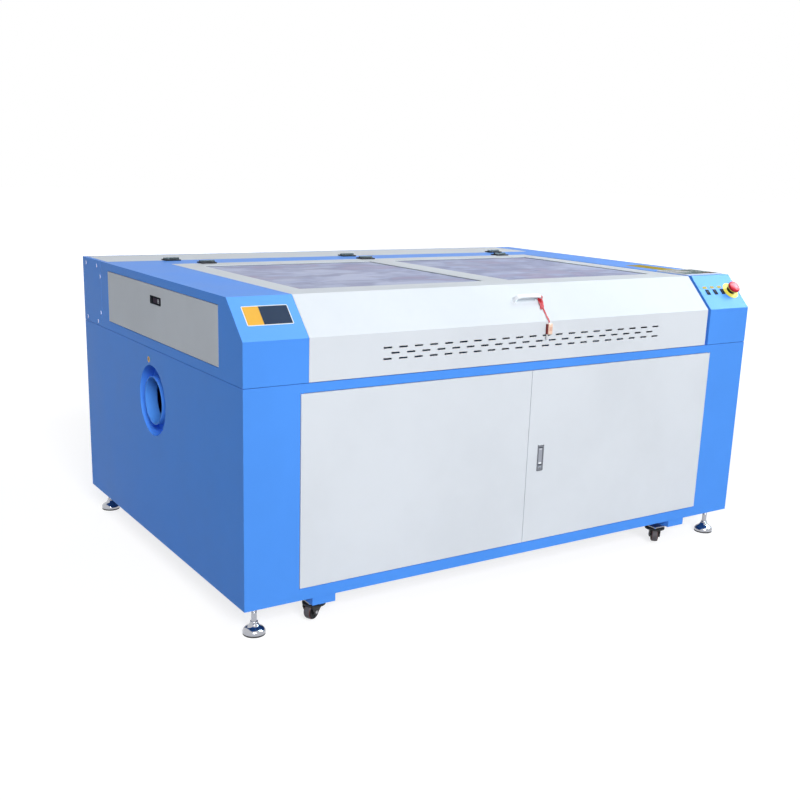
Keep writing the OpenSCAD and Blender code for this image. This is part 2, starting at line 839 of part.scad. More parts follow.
module tube_mounts() {
  base = 30;
  arm = 14;
  fit_gap = 0.1;
  z0 = bay_floor_z + sheet_t;
  color(DARK) {
    for (x = [tube_x0 + 260, tube_x0 + tube_l - 260]) difference() {
      block([x - base / 2, tube_y - tube_r - arm, z0], [x + base / 2, tube_y + tube_r + arm, beam_line_z]);
      translate([0, tube_y, beam_line_z]) rod_x(x - base, x + base, tube_r + fit_gap);
    }
    block([mirror_x - 18, tube_y - 4, z0], [mirror_x - 6, tube_y + 20, beam_line_z - 8]);
    translate([mirror_x, tube_y, beam_line_z]) rotate([0, 90, 135]) cylinder(h = 14, r = 14);
  }
}

// Boxes of the laser supply and the drivers on the right wall, and the inlet and glands at the back
module electronics() {
  x1 = x_right - sheet_t;
  box_d = 140;
  color(STEEL) {
    block([x1 - box_d, 40, z_floor + 160], [x1, 340, z_floor + 370]);
    block([x1 - box_d + 50, -360, z_floor + 130], [x1, -60, z_floor + 430]);
  }
  color(DARK) {
    block([inlet_x - inlet_w / 2 + 0.2, y_back - 30, inlet_z - inlet_h / 2 + 0.2],
          [inlet_x + inlet_w / 2 - 0.2, y_back - 0.5, inlet_z + inlet_h / 2 - 0.2]);
    for (i = [0, 1])
      translate([gland_x - i * gland_pitch, 0, inlet_z]) rod_y(y_back - 22, y_back, gland_r - 0.2);
  }
}

// ---- Controls ----

module keypad() {
  plate = 2;
  body = 24;
  edge = 11;
  color([0.75, 0.78, 0.8]) {
    block([keypad_x - keypad_l / 2, keypad_y - keypad_w / 2, z_top],
          [keypad_x + keypad_l / 2, keypad_y + keypad_w / 2, z_top + plate]);
    block([keypad_x - keypad_l / 2 + edge, keypad_y - keypad_w / 2 + edge, z_top - body],
          [keypad_x + keypad_l / 2 - edge, keypad_y + keypad_w / 2 - edge, z_top + 1]);
  }
}

module estop_base() {
  disc_r = 32;
  disc_t = 1.5;
  collar_r = 14;
  collar_h = 6;
  neck_r = 11;
  depth = 30;
  color([0.98, 0.9, 0.15]) on_slope(estop_x, estop_s) difference() {
    union() {
      cylinder(h = disc_t, r = disc_r);
      cylinder(h = collar_h, r = collar_r);
      translate([0, 0, -depth]) cylinder(h = depth + 1, r = neck_r);
    }
    translate([0, 0, -depth - 1]) cylinder(h = depth + collar_h + 2, r = estop_stem_r + fit);
  }
}

module estop_plunger() {
  depth = 24;
  tip = 10;
  color(DARK) on_slope(estop_x, estop_s) {
    translate([0, 0, -depth]) cylinder(h = depth + estop_head_z - 0.4, r = estop_stem_r);
    translate([0, 0, estop_head_z - 1]) cylinder(h = tip, r = estop_tip_r);
  }
}

module estop_head() {
  head_h = 18;
  dome_h = 8;
  bore = 10;
  color([0.85, 0.12, 0.2]) on_slope(estop_x, estop_s) translate([0, 0, estop_head_z]) difference() {
    rotate_extrude() union() {
      square([estop_r - 5, head_h - dome_h]);
      translate([0, head_h - dome_h]) intersection() {
        translate([0, dome_h - 42]) circle(42);
        square([estop_r - 2, dome_h]);
      }
      translate([estop_r - 5, 4]) square([3, head_h - dome_h - 4]);
      translate([estop_r - 4, 10]) circle(4);
    }
    translate([0, 0, -1]) cylinder(h = bore + 1, r = estop_tip_r + fit);
  }
}

module rocker_place(i) {
  on_slope(rocker_x - (3 - i) * rocker_pitch, rocker_s) children();
}

module switch_frames() {
  lip = 1.8;
  hole_fit = 1.2;
  color(DARK) for (i = [1:3]) rocker_place(i) difference() {
    union() {
      translate([-rocker_w / 2, -rocker_l / 2, 0]) cube([rocker_w, rocker_l, lip]);
      translate([-rocker_w / 2 + hole_fit, -rocker_l / 2 + hole_fit, -rocker_d])
        cube([rocker_w - 2 * hole_fit, rocker_l - 2 * hole_fit, rocker_d + 1]);
    }
    translate([-rocker_half, -rocker_room, -rocker_d + rocker_wall])
      cube([2 * rocker_half, 2 * rocker_room, rocker_d + lip]);
    translate([0, 0, rocker_pin_z]) rod_x(-rocker_pin_half, rocker_pin_half, rocker_pin_r + fit);
  }
}

// A rocker that leans to its off side, with its pivot pins
module rocker(i) {
  lean = 12;
  half = rocker_half - clear;
  color([0.1, 0.1, 0.11]) rocker_place(i) translate([0, 0, rocker_pin_z]) {
    rotate([lean, 0, 0]) along_x(-half, half) difference() {
      intersection() {
        circle(rocker_body_r);
        translate([-10, -4]) square([20, 14]);
      }
      polygon([[0, 5.2], [10, 3.1], [10, 12], [-10, 12], [-10, 3.1]]);
    }
    rod_x(-rocker_pin_half, rocker_pin_half, rocker_pin_r);
  }
}

module rocker_1() { rocker(1); }
module rocker_2() { rocker(2); }
module rocker_3() { rocker(3); }

// ---- Hinges ----

// One leaf of a hinge whose pin runs along X at y, standing on the top at the side given by +1 or -1
module leaf(x, y, side, first) {
  start = x - hinge_l / 2;
  near = y + side * (knuckle_r + 0.5);
  far = y + side * hinge_leaf;
  root = y + side * 6;
  inner = y + side * 0.6;
  block([start, min(near, far), z_top], [start + hinge_l, max(near, far), z_top + leaf_t]);
  for (i = [first : 2 : knuckle_count - 1]) {
    x0 = start + i * knuckle_l + knuckle_gap;
    x1 = start + (i + 1) * knuckle_l - knuckle_gap;
    translate([0, y, hinge_z]) rod_x(x0, x1, knuckle_r);
    block([x0, min(inner, root), z_top], [x1, max(inner, root), z_top + leaf_t]);
  }
}

// The fixed leaf carries the pin, whose tip shows at the left
module fixed_leaf(x, y, side) {
  pin_tip = 2.5;
  leaf(x, y, side, 0);
  translate([0, y, hinge_z]) rod_x(x - hinge_l / 2 - pin_tip, x + hinge_l / 2 + 0.5, hinge_pin_r);
}

module moving_leaf(x, y, side) {
  difference() {
    leaf(x, y, side, 1);
    translate([0, y, hinge_z]) rod_x(x - hinge_l, x + hinge_l, hinge_pin_r + fit);
  }
}

module fixed_hinge_leaves() {
  color(DARK) for (i = [-1:1]) {
    fixed_leaf(lid_mid + i * lid_hinge_pitch, lid_hinge_y, 1);
    fixed_leaf(cover_hinge_x + i * cover_hinge_pitch, cover_hinge_y, -1);
  }
}

module lid_hinge_leaves() {
  color(DARK) for (i = [-1:1]) moving_leaf(lid_mid + i * lid_hinge_pitch, lid_hinge_y, -1);
}

module cover_hinge_leaves() {
  color(DARK) for (i = [-1:1]) moving_leaf(cover_hinge_x + i * cover_hinge_pitch, cover_hinge_y, 1);
}

// ---- Lid ----

function window_x(i) = i == 0 ? [lid_x0 + window_margin, window_mid - window_bar / 2]
                              : [window_mid + window_bar / 2, lid_x1 - window_margin];

module vent_row(count, z) {
  for (i = [0 : count - 1]) {
    x = lid_mid + (i - (count - 1) / 2) * slot_pitch;
    block([x - slot_l / 2, y_front - 1, z - slot_h / 2],
          [x + slot_l / 2, y_front + sheet_t + 1, z + slot_h / 2]);
  }
}

module strut_bracket(x_flange, x_eye) {
  half = 12;
  block([min(x_flange, x_eye), strut_head[0] - half, strut_head[1] - 10],
        [max(x_flange, x_eye), strut_head[0] + half, z_top - lid_flange + 4]);
}

module lid_shell() {
  z_low = z_upper + 0.5;
  back_flange = 18;
  rib = 40;
  rib_h = 16;
  eye_gap = strut_x + 5 + 1.3;
  color(WHITE) {
    difference() {
      along_x(lid_x0, lid_x1) front_strip(sheet_t, z_low, lid_back);
      for (i = [0, 1]) block([window_x(i)[0], window_y0, z_top - 10], [window_x(i)[1], window_y1, z_top + 1]);
      vent_row(slot_count, z_seam + slot_z + slot_row);
      vent_row(slot_count - 1, z_seam + slot_z);
      vent_row(slot_count, z_seam + slot_z - slot_row);
    }
    for (x = [lid_x0, lid_x1 - sheet_t]) along_x(x, x + sheet_t) front_strip(lid_flange, z_low, lid_back);
    block([lid_x0, lid_back - sheet_t, z_top - back_flange], [lid_x1, lid_back, z_top]);
    block([lid_x0, y_front, z_low], [lid_x1, y_front + 15, z_low + sheet_t]);
    for (x = [window_mid - rib / 2, window_mid + rib / 2 - sheet_t])
      block([x, window_y0 - 20, z_top - rib_h], [x + sheet_t, window_y1 + 20, z_top - 1]);
    strut_bracket(lid_x0 + sheet_t / 2, -eye_gap);
    strut_bracket(lid_x1 - sheet_t / 2, eye_gap);
  }
}

module lid_windows() {
  lap = 14;
  color([0.45, 0.45, 0.52]) for (i = [0, 1])
    block([window_x(i)[0] - lap, window_y0 - lap, z_top - sheet_t - window_t],
          [window_x(i)[1] + lap, window_y1 + lap, z_top - sheet_t]);
}

module lid_handle() {
  foot = 14;
  foot_w = 26;
  grip_w = 14;
  grip_t = 8;
  half = handle_l / 2;
  color(WHITE) on_slope(handle_x, handle_s) {
    for (s = [-1, 1]) translate([s * (half - foot / 2) - foot / 2, -foot_w / 2, 0]) cube([foot, foot_w, 6]);
    translate([0, grip_w / 2, 0]) rotate([90, 0, 0]) linear_extrude(grip_w) polygon([
      [-half, 0], [-half + 4, handle_rise * 0.7], [-half + 14, handle_rise], [half - 14, handle_rise],
      [half - 4, handle_rise * 0.7], [half, 0], [half - 9, 0], [half - 12, handle_rise - grip_t - 4],
      [half - 19, handle_rise - grip_t], [-half + 19, handle_rise - grip_t],
      [-half + 12, handle_rise - grip_t - 4], [-half + 9, 0]
    ]);
  }
}

// A tube swept along a list of points
function unit(v) = v / norm(v);
function route_dir(p, i) = unit(p[min(i + 1, len(p) - 1)] - p[max(i - 1, 0)]);
function ring(p, i, r, sides) =
  let (d = route_dir(p, i), side = unit(cross(d, [1, 0, 0])), up = cross(side, d))
  [for (k = [0 : sides - 1]) p[i] + r * (cos(360 * k / sides) * side + sin(360 * k / sides) * up)];

module swept_tube(p, r, sides) {
  n = len(p);
  points = [for (i = [0 : n - 1]) each ring(p, i, r, sides)];
  walls = [for (i = [0 : n - 2], k = [0 : sides - 1]) let (a = i * sides + k, b = i * sides + (k + 1) % sides)
    [a, b, b + sides, a + sides]];
  polyhedron(points, concat([[for (k = [sides - 1 : -1 : 0]) k]], walls,
    [[for (k = [0 : sides - 1]) (n - 1) * sides + k]]), convexity = 4);
}

module key_cord() {
  color([0.85, 0.1, 0.12]) swept_tube(CORD_ROUTE, CORD_R, 8);
}

module key_tag() {
  tag_w = 22;
  tag_h = 34;
  tag_t = 8;
  blade_w = 7;
  blade_t = 1.8;
  blade_l = 17;
  standoff = 0.6;
  far = y_front - standoff - tag_t;
  mid = y_front - standoff - tag_t / 2;
  top = CORD_ROUTE[len(CORD_ROUTE) - 1];
  color([0.88, 0.66, 0.58]) {
    block([top[0] - tag_w / 2, far, top[2] - tag_h], [top[0] + tag_w / 2, far + tag_t, top[2]]);
    block([top[0] - tag_w / 2, mid - blade_t / 2, top[2] - tag_h - blade_l],
          [top[0] - tag_w / 2 + blade_w, mid + blade_t / 2, top[2] - tag_h + 1]);
  }
}

// ---- Tube bay cover ----

module tube_bay_cover() {
  depth = 12;
  lo = [cover_x0, bay_y + edge_gap, z_top - depth];
  hi = [cover_x1, y_back - bay_rim_back, z_top];
  color(WHITE) difference() {
    block(lo, hi);
    block(lo + [sheet_t, sheet_t, -1], hi - [sheet_t, sheet_t, sheet_t]);
  }
}

// ---- Doors ----

module door(x0, x1) {
  difference() {
    pan_y([x0, y_front - door_proud, door_z0], [x1, y_front - door_proud + door_t, door_z1], sheet_t);
    door_pins(fit, door_z0 - 1, door_z0 + 12);
    door_pins(fit, door_z1 - 12, door_z1 + 1);
  }
}

module door_left() {
  color(WHITE) door(door_x0, door_mid - door_gap / 2);
}

module door_right() {
  edge = 3;
  color(WHITE) difference() {
    door(door_mid + door_gap / 2, door_x1);
    block([latch_x - latch_w / 2 + edge, y_front - 5, latch_z - latch_h / 2 + edge],
          [latch_x + latch_w / 2 - edge, y_front + sheet_t, latch_z + latch_h / 2 - edge]);
  }
}

module latch_plate() {
  lip = 1.2;
  depth = 14;
  edge = 3.2;
  y0 = y_front - door_proud;
  x0 = latch_x - latch_w / 2;
  x1 = latch_x + latch_w / 2;
  z0 = latch_z - latch_h / 2;
  z1 = latch_z + latch_h / 2;
  color(GREY) difference() {
    union() {
      block([x0, y0 - lip, z0], [x1, y0, z1]);
      block([x0 + edge, y0 - 0.5, z0 + edge], [x1 - edge, y0 + depth, z1 - edge]);
    }
    block([latch_x - paddle_w / 2 - clear, y0 - lip - 1, paddle_pin_z - paddle_h + 2],
          [latch_x + paddle_w / 2 + clear, y0 + depth - 2, paddle_pin_z + 5]);
    translate([0, y0 + 3, paddle_pin_z])
      rod_x(latch_x - paddle_pin_half, latch_x + paddle_pin_half, paddle_pin_r + fit);
  }
}

module latch_paddle() {
  y0 = y_front - door_proud;
  color(STEEL) {
    block([latch_x - paddle_w / 2, y0 - 0.6, paddle_pin_z - paddle_h + 6],
          [latch_x + paddle_w / 2, y0 + 2.4, paddle_pin_z + 1]);
    block([latch_x - paddle_w / 2, y0 + 1, paddle_pin_z - 3],
          [latch_x + paddle_w / 2, y0 + 5, paddle_pin_z + 1]);
    translate([0, y0 + 3, paddle_pin_z])
      rod_x(latch_x - paddle_pin_half + 0.2, latch_x + paddle_pin_half - 0.2, paddle_pin_r);
  }
}

// ---- Side panel ----

module side_panel() {
  t = side_skin;
  rim = side_latch_rim;
  lo = [x_left, side_y0, side_z0];
  hi = [x_left + side_depth - 1, side_y1, side_z1];
  color(GREY) difference() {
    block(lo, hi);
    block(lo + [t, t, t], hi + [1, -t, -t]);
    translate([side_pin_x, 0, side_pin_z]) rod_y(side_y0 - 1, side_y1 + 1, side_pin_r + fit);
    block([x_left - 1, side_latch_y - side_latch_l / 2 + rim, side_latch_z - side_latch_h / 2 + rim],
          [x_left + t + 1, side_latch_y + side_latch_l / 2 - rim, side_latch_z + side_latch_h / 2 - rim]);
  }
}

// Slider of the side panel's latch, held behind the panel by its flange
module side_latch() {
  h = side_latch_h / 2 - side_latch_rim - clear;
  slider_l = 60;
  flange = 5;
  y1 = side_latch_y - side_latch_l / 2 + side_latch_rim + clear;
  color(DARK) {
    block([x_left + 0.2, y1, side_latch_z - h], [x_left + 3, y1 + slider_l, side_latch_z + h]);
    block([x_left + side_skin + clear, y1 - 2, side_latch_z - h - flange],
          [x_left + 5, y1 + slider_l + 6, side_latch_z + h + flange]);
  }
}

// ---- Gas struts ----

// Places a strut piece: X runs from the pivot on the rail tube towards the lid
module strut_place(side) {
  translate([side * strut_x, strut_foot[0], strut_foot[1]]) rotate([strut_angle, 0, 0]) rotate([0, 0, 90])
    children();
}

module strut_cylinder() {
  body_start = 14;
  body_end = 215;
  difference() {
    union() {
      translate([0, -5, 0]) rotate([-90, 0, 0]) cylinder(h = 10, r = strut_eye_r);
      rod_x(body_start, body_end, strut_body_r);
      rod_x(0, body_start + 1, 4.5);
    }
    translate([0, -6, 0]) rotate([-90, 0, 0]) cylinder(h = 12, r = strut_pin_r + fit);
    rod_x(body_start + 6, body_end + 1, strut_rod_r + fit);
  }
}

module strut_rod() {
  rod_in = 330;
  difference() {
    union() {
      translate([strut_len, -5, 0]) rotate([-90, 0, 0]) cylinder(h = 10, r = strut_eye_r);
      rod_x(strut_len - rod_in, strut_len - 4, strut_rod_r);
    }
    translate([strut_len, -6, 0]) rotate([-90, 0, 0]) cylinder(h = 12, r = strut_pin_r);
  }
}

module strut_cylinders() {
  color(DARK) for (s = [-1, 1]) strut_place(s) strut_cylinder();
}

module strut_rods() {
  color(STEEL) for (s = [-1, 1]) strut_place(s) strut_rod();
}

// ---- Feet and casters ----

module foot(i) {
  pad = 4;
  rim_z = 14;
  neck_r = stem_r + 3;
  neck_z = 40;
  color(STEEL) translate(concat(foot_place(i), 0)) {
    rotate_extrude() union() {
      square([foot_r - 1, pad]);
      translate([0, pad]) square([foot_r, rim_z - pad]);
      polygon([
        [0, rim_z], [foot_r, rim_z], [foot_r - 4, rim_z + 5], [neck_r + 5, neck_z - 12],
        [neck_r, neck_z - 6], [neck_r, neck_z], [0, neck_z]
      ]);
    }
    cylinder(h = foot_top, r = stem_r);
  }
}

module foot_1() { foot(0); }
module foot_2() { foot(1); }
module foot_3() { foot(2); }
module foot_4() { foot(3); }

module caster_set(i) {
  p = caster_place(i);
  translate([p[0], p[1], 0]) rotate([0, 0, caster_turn[i]]) children();
}

module caster_fork(i) {
  half = wheel_w / 2 + 2;
  leg = 2.5;
  top = 3;
  color(DARK) caster_set(i) difference() {
    union() {
      translate([-half - leg, -22, fork_z - top]) cube([2 * (half + leg), 40, top]);
      translate([0, 0, fork_z - 1]) cylinder(h = 2.6, r = 17);
      for (s = [-1, 1]) along_x(s * (half + leg / 2) - leg / 2, s * (half + leg / 2) + leg / 2) polygon([
        [-22, fork_z], [18, fork_z], [18, fork_z - 6], [-wheel_trail + 8, wheel_z - 3],
        [-wheel_trail + 4, wheel_z - 8], [-wheel_trail - 4, wheel_z - 8], [-wheel_trail - 8, wheel_z - 3],
        [-22, fork_z - 10]
      ]);
      translate([0, -wheel_trail, wheel_z]) rod_x(-half - leg - 2, half + leg + 2, axle_r);
    }
    translate([0, 0, fork_z - top - 1]) cylinder(h = 6, r = kingpin_r + fit);
  }
}

module caster_wheel(i) {
  edge = 5;
  hub = 9;
  color([0.45, 0.42, 0.45]) caster_set(i) translate([-wheel_w / 2, -wheel_trail, wheel_z]) rotate([0, 90, 0])
    rotate_extrude() difference() {
      union() {
        square([wheel_r - edge, wheel_w]);
        translate([0, edge]) square([wheel_r, wheel_w - 2 * edge]);
        translate([wheel_r - edge, edge]) circle(edge);
        translate([wheel_r - edge, wheel_w - edge]) circle(edge);
      }
      translate([-1, -1]) square([axle_r + fit + 1, wheel_w + 2]);
      translate([hub, -1]) square([wheel_r - edge - hub - 2, 4]);
      translate([hub, wheel_w - 3]) square([wheel_r - edge - hub - 2, 4]);
    }
}

module caster_fork_1() { caster_fork(0); }
module caster_fork_2() { caster_fork(1); }
module caster_fork_3() { caster_fork(2); }
module caster_fork_4() { caster_fork(3); }
module caster_wheel_1() { caster_wheel(0); }
module caster_wheel_2() { caster_wheel(1); }
module caster_wheel_3() { caster_wheel(2); }
module caster_wheel_4() { caster_wheel(3); }

base_frame();
cabinet_left_panel();
cabinet_right_panel();
cabinet_back_panel();
front_frame();
deck();
exhaust_collar();
left_end_housing();
right_end_housing();
tube_bay();
tube_end_cover();
work_bed();
y_rails();
y_drive();
laser_tube();
tube_mounts();
electronics();
keypad();
estop_base();
switch_frames();
fixed_hinge_leaves();
lid_shell();
lid_windows();
lid_handle();
lid_hinge_leaves();
key_cord();
key_tag();
tube_bay_cover();
cover_hinge_leaves();
door_left();
door_right();
latch_plate();
latch_paddle();
side_panel();
side_latch();
estop_plunger();
estop_head();
rocker_1();
rocker_2();
rocker_3();
gantry_beam();
x_drive();
carriage();
lens_tube();
y_drive_shaft();
y_idlers();
strut_cylinders();
strut_rods();
foot_1();
foot_2();
foot_3();
foot_4();
caster_fork_1();
caster_fork_2();
caster_fork_3();
caster_fork_4();
caster_wheel_1();
caster_wheel_2();
caster_wheel_3();
caster_wheel_4();
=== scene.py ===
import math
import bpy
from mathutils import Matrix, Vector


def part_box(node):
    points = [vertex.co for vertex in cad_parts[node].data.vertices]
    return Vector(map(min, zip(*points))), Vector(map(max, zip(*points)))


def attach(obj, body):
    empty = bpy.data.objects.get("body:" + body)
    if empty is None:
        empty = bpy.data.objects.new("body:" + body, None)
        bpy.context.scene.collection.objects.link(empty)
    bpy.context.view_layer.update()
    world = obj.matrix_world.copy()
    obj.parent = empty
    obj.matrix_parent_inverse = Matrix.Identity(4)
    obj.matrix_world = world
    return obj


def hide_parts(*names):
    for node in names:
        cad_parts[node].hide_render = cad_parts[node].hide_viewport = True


bl_info = {
    "name": "Laser engraving machine",
    "version": (1, 0, 0),
    "blender": (4, 5, 0),
    "location": "View3D > Sidebar > Engraver",
    "description": "Finishes and fittings of a floor-standing carbon dioxide laser engraving machine",
    "category": "Object",
}

import bmesh
import bpy
import numpy as np
from bpy.props import FloatProperty, FloatVectorProperty, IntProperty, PointerProperty
from mathutils import Euler, Vector

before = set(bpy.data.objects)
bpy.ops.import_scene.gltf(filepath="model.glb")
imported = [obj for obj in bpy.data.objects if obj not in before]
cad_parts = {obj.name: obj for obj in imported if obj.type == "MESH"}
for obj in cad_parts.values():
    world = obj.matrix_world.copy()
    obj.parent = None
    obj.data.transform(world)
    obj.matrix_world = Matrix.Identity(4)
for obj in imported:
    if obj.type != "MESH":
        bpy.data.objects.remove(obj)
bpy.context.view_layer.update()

# Shapes are worked out in millimetres, and Surface.piece turns them into metres
MM = 0.001


def node_box(name):
    """Lowest corner, highest corner and middle of a CAD node, in millimetres."""
    low, high = (np.array(corner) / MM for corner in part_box(name))
    return low, high, (low + high) / 2


# Main planes of the machine, read from the frame, and the slope of its front
X_LEFT, Y_FRONT = node_box("front_frame")[0][:2]
Y_BACK = node_box("cabinet_back_panel")[1][1]
Z_TOP = node_box("lid_shell")[1][2]
SLOPE_RISE, SLOPE_RUN = 102, 100
Z_KNEE = Z_TOP - SLOPE_RISE
SLOPE_ANGLE = math.atan2(SLOPE_RISE, SLOPE_RUN)
SLOPE_UP = np.array([0.0, math.cos(SLOPE_ANGLE), math.sin(SLOPE_ANGLE)])
SLOPE_OUT = np.array([0.0, -math.sin(SLOPE_ANGLE), math.cos(SLOPE_ANGLE)])

# Directions of a shape's own X and Z where it lies on a face of the machine
ON_FRONT = (1, 0, 0), (0, -1, 0)
ON_LEFT = (0, -1, 0), (-1, 0, 0)
ON_BACK = (-1, 0, 0), (0, 1, 0)


def srgb(red, green, blue):
    """Linear colour of a display colour given in steps from 0 to 255."""
    value = np.array([red, green, blue]) / 255.0
    linear = np.where(value <= 0.04045, value / 12.92, ((value + 0.055) / 1.055) ** 2.4)
    return tuple(float(v) for v in linear)


def darker(colour, part):
    """A colour with each channel brought down to a part of itself."""
    return tuple(channel * part for channel in colour)


# ---------------------------------------------------------------- shader expressions


def operation(kind, swapped=False):
    """A method that adds one Math node to the value's shader; swapped puts the value itself last."""

    def apply(self, *others):
        inputs = (*others, self) if swapped else (self, *others)
        return self.shader.add("ShaderNodeMath", {"operation": kind}, dict(enumerate(inputs)))

    return apply


class Value:
    """A shader socket that takes part in Python arithmetic."""

    def __init__(self, shader, socket):
        self.shader = shader
        self.socket = socket

    __add__ = operation("ADD")
    __radd__ = operation("ADD", True)
    __sub__ = operation("SUBTRACT")
    __rsub__ = operation("SUBTRACT", True)
    __mul__ = operation("MULTIPLY")
    __rmul__ = operation("MULTIPLY", True)
    __gt__ = operation("GREATER_THAN")
    __lt__ = operation("LESS_THAN")
    minimum = operation("MINIMUM")
    sine = operation("SINE")
    root = operation("SQRT")
    fraction = operation("FRACT")

    def ramp(self, low, high, to_low=0.0, to_high=1.0):
        """Runs smoothly from to_low at low to to_high at high, and stays there outside."""
        inputs = dict(enumerate((self, low, high, to_low, to_high)))
        return self.shader.add("ShaderNodeMapRange", {"interpolation_type": "SMOOTHSTEP"}, inputs)

    def band(self, low, high, soft):
        """1 between low and high and 0 outside, with edges of a given softness."""
        return self.ramp(low - soft, low + soft) * self.ramp(high - soft, high + soft, 1.0, 0.0)


class Shader:
    """One material, built from expressions."""

    def __init__(self, name, owner=None):
        self.material = owner or bpy.data.materials.new(name)
        self.material.use_nodes = True
        self.tree = self.material.node_tree
        self.tree.nodes.clear()

    def feed(self, socket, value):
        """Links a value to a socket, or sets the socket to a number or a colour."""
        if isinstance(value, Value):
            self.tree.links.new(value.socket, socket)
        elif not hasattr(socket.default_value, "__len__"):
            socket.default_value = value
        else:
            parts = [value] * 3 if isinstance(value, (int, float)) else list(value)
            socket.default_value = parts + [1.0] * (len(socket.default_value) - len(parts))

    def add(self, kind, settings=None, inputs=None, output=0):
        """Adds a node of any kind: its settings first, then the values or links of its sockets."""
        node = self.tree.nodes.new(kind)
        for key, value in (settings or {}).items():
            setattr(node, key, value)
        for key, value in (inputs or {}).items():
            self.feed(node.inputs[key], value)
        return Value(self, node.outputs[output])

    def place(self, output=3):
        """The three object coordinates in metres, or the parts of another output of the coordinates."""
        split = self.add("ShaderNodeSeparateXYZ", {}, {0: self.add("ShaderNodeTexCoord", output=output)})
        return [Value(self, part) for part in split.socket.node.outputs]

    def sheet(self):
        """The two coordinates of the piece's own map."""
        return self.place(2)[:2]

    def vector(self, x, y, z):
        return self.add("ShaderNodeCombineXYZ", {}, {0: x, 1: y, 2: z})

    def noise(self, scale, detail=3.0, roughness=0.5, stretch=(1, 1, 1), shift=0.0, distortion=0.0):
        """Cloud noise in object space, from 0 to 1; scale is in waves a metre."""
        x, y, z = self.place()
        where = self.vector(x * stretch[0] + shift, y * stretch[1], z * stretch[2])
        return self.add("ShaderNodeTexNoise", {}, {
            "Vector": where, "Scale": scale, "Detail": detail, "Roughness": roughness,
            "Distortion": distortion})

    def mix(self, factor, first, second, blend="MIX"):
        """Colour that runs from first at 0 to second at 1."""
        return self.add("ShaderNodeMix", {"data_type": "RGBA", "blend_type": blend},
                        {0: factor, 6: first, 7: second}, 2)

    def finish(self, surface, kind="ShaderNodeOutputMaterial"):
        self.feed(self.tree.nodes.new(kind).inputs[0], surface)
        return self.material

    def coat(self, base, roughness, relief=None, **others):
        """Finishes the material with a colour, a roughness, and a relief: height, distance and strength."""
        sockets = {key.replace("_", " ").title().replace("Ior", "IOR"): value
                   for key, value in others.items()}
        sockets.update({"Base Color": base, "Roughness": roughness})
        if relief:
            bump = dict(zip(("Height", "Distance", "Strength"), relief))
            sockets["Normal"] = self.add("ShaderNodeBump", {}, bump)
        return self.finish(self.add("ShaderNodeBsdfPrincipled", {}, sockets))


# ---------------------------------------------------------------- finishes


def sheet_paint(name, colour, roughness, shine):
    """Powder coat: fine orange peel, a slight cloudiness and faint specks."""
    s = Shader(name)
    clouds = s.noise(2.6, 4.0, 0.6)
    peel = s.noise(620.0, 2.0, 0.5)
    speck = s.noise(1900.0, 1.0, 0.4, shift=3.0)
    tone = clouds.ramp(0.25, 0.75, 0.965, 1.03) * speck.ramp(0.2, 0.8, 0.99, 1.01)
    return s.coat(s.mix(1.0, colour, s.vector(tone, tone, tone), "MULTIPLY"),
                  roughness + clouds.ramp(0.2, 0.8, -0.03, 0.05),
                  (peel * 0.8 + speck * 0.2, 0.00012, 0.35), specular_ior_level=shine)


def film_over_acrylic(name, base, cloud_colour, pale, blush):
    """Smoked acrylic under a wrinkled film: soft clouds, trapped air, scuffs and faint rosy patches."""
    s = Shader(name)
    broad = s.noise(4.2, 3.0, 0.55, (1.0, 1.2, 1.0), distortion=0.4)
    patch = s.noise(7.4, 3.0, 0.55, (0.8, 1.1, 1.0), 7.0, 0.3)
    streak = s.noise(12.0, 4.0, 0.6, (0.4, 1.6, 1.0), 5.0, 0.8)
    air = s.noise(21.0, 3.0, 0.6, (0.7, 1.6, 1.0), 17.0)
    colour = s.mix(broad.ramp(0.40, 0.60) * 0.8, base, pale)
    colour = s.mix(patch.ramp(0.44, 0.64) * 0.85, colour, cloud_colour)
    colour = s.mix(streak.ramp(0.50, 0.66) * 0.75, colour, pale)
    colour = s.mix(broad.band(0.34, 0.42, 0.04) * 0.35, colour, blush)
    colour = s.mix(air.ramp(0.56, 0.7) * 0.35, colour, pale)
    return s.coat(colour, 0.3 + streak.ramp(0.4, 0.8) * 0.15,
                  (broad * 0.6 + streak * 0.35 + air * 0.05, 0.0012, 0.35), specular_ior_level=0.2)


def plain_metal(name, colour, roughness, grain=(1, 1, 1), grain_depth=0.25, metallic=1.0):
    """Metal with fine machining or rolling lines along the axis whose stretch is the smallest."""
    s = Shader(name)
    lines = s.noise(420.0, 3.0, 0.6, grain)
    blotch = s.noise(14.0, 3.0, 0.6, shift=2.0)
    rough = roughness + lines.ramp(0.3, 0.7, -0.04, 0.06) + blotch.ramp(0.3, 0.7, -0.02, 0.04)
    return s.coat(s.mix(blotch.ramp(0.3, 0.75) * 0.35, colour, darker(colour, 0.8)), rough,
                  (lines, 0.00008, grain_depth), metallic=metallic)


def moulded(name, colour, roughness, grain=900.0, depth=0.2, coat=0.0, shine=0.4):
    """Moulded plastic with a fine spark-eroded grain and a slight change of tone."""
    s = Shader(name)
    blotch = s.noise(30.0, 3.0, 0.5, shift=4.0)
    return s.coat(s.mix(blotch.ramp(0.3, 0.7) * 0.25, colour, darker(colour, 0.86)),
                  roughness + blotch.ramp(0.3, 0.7, -0.03, 0.05), (s.noise(grain, 2.0), 0.0001, depth),
                  coat_weight=coat, coat_roughness=0.12, specular_ior_level=shine)


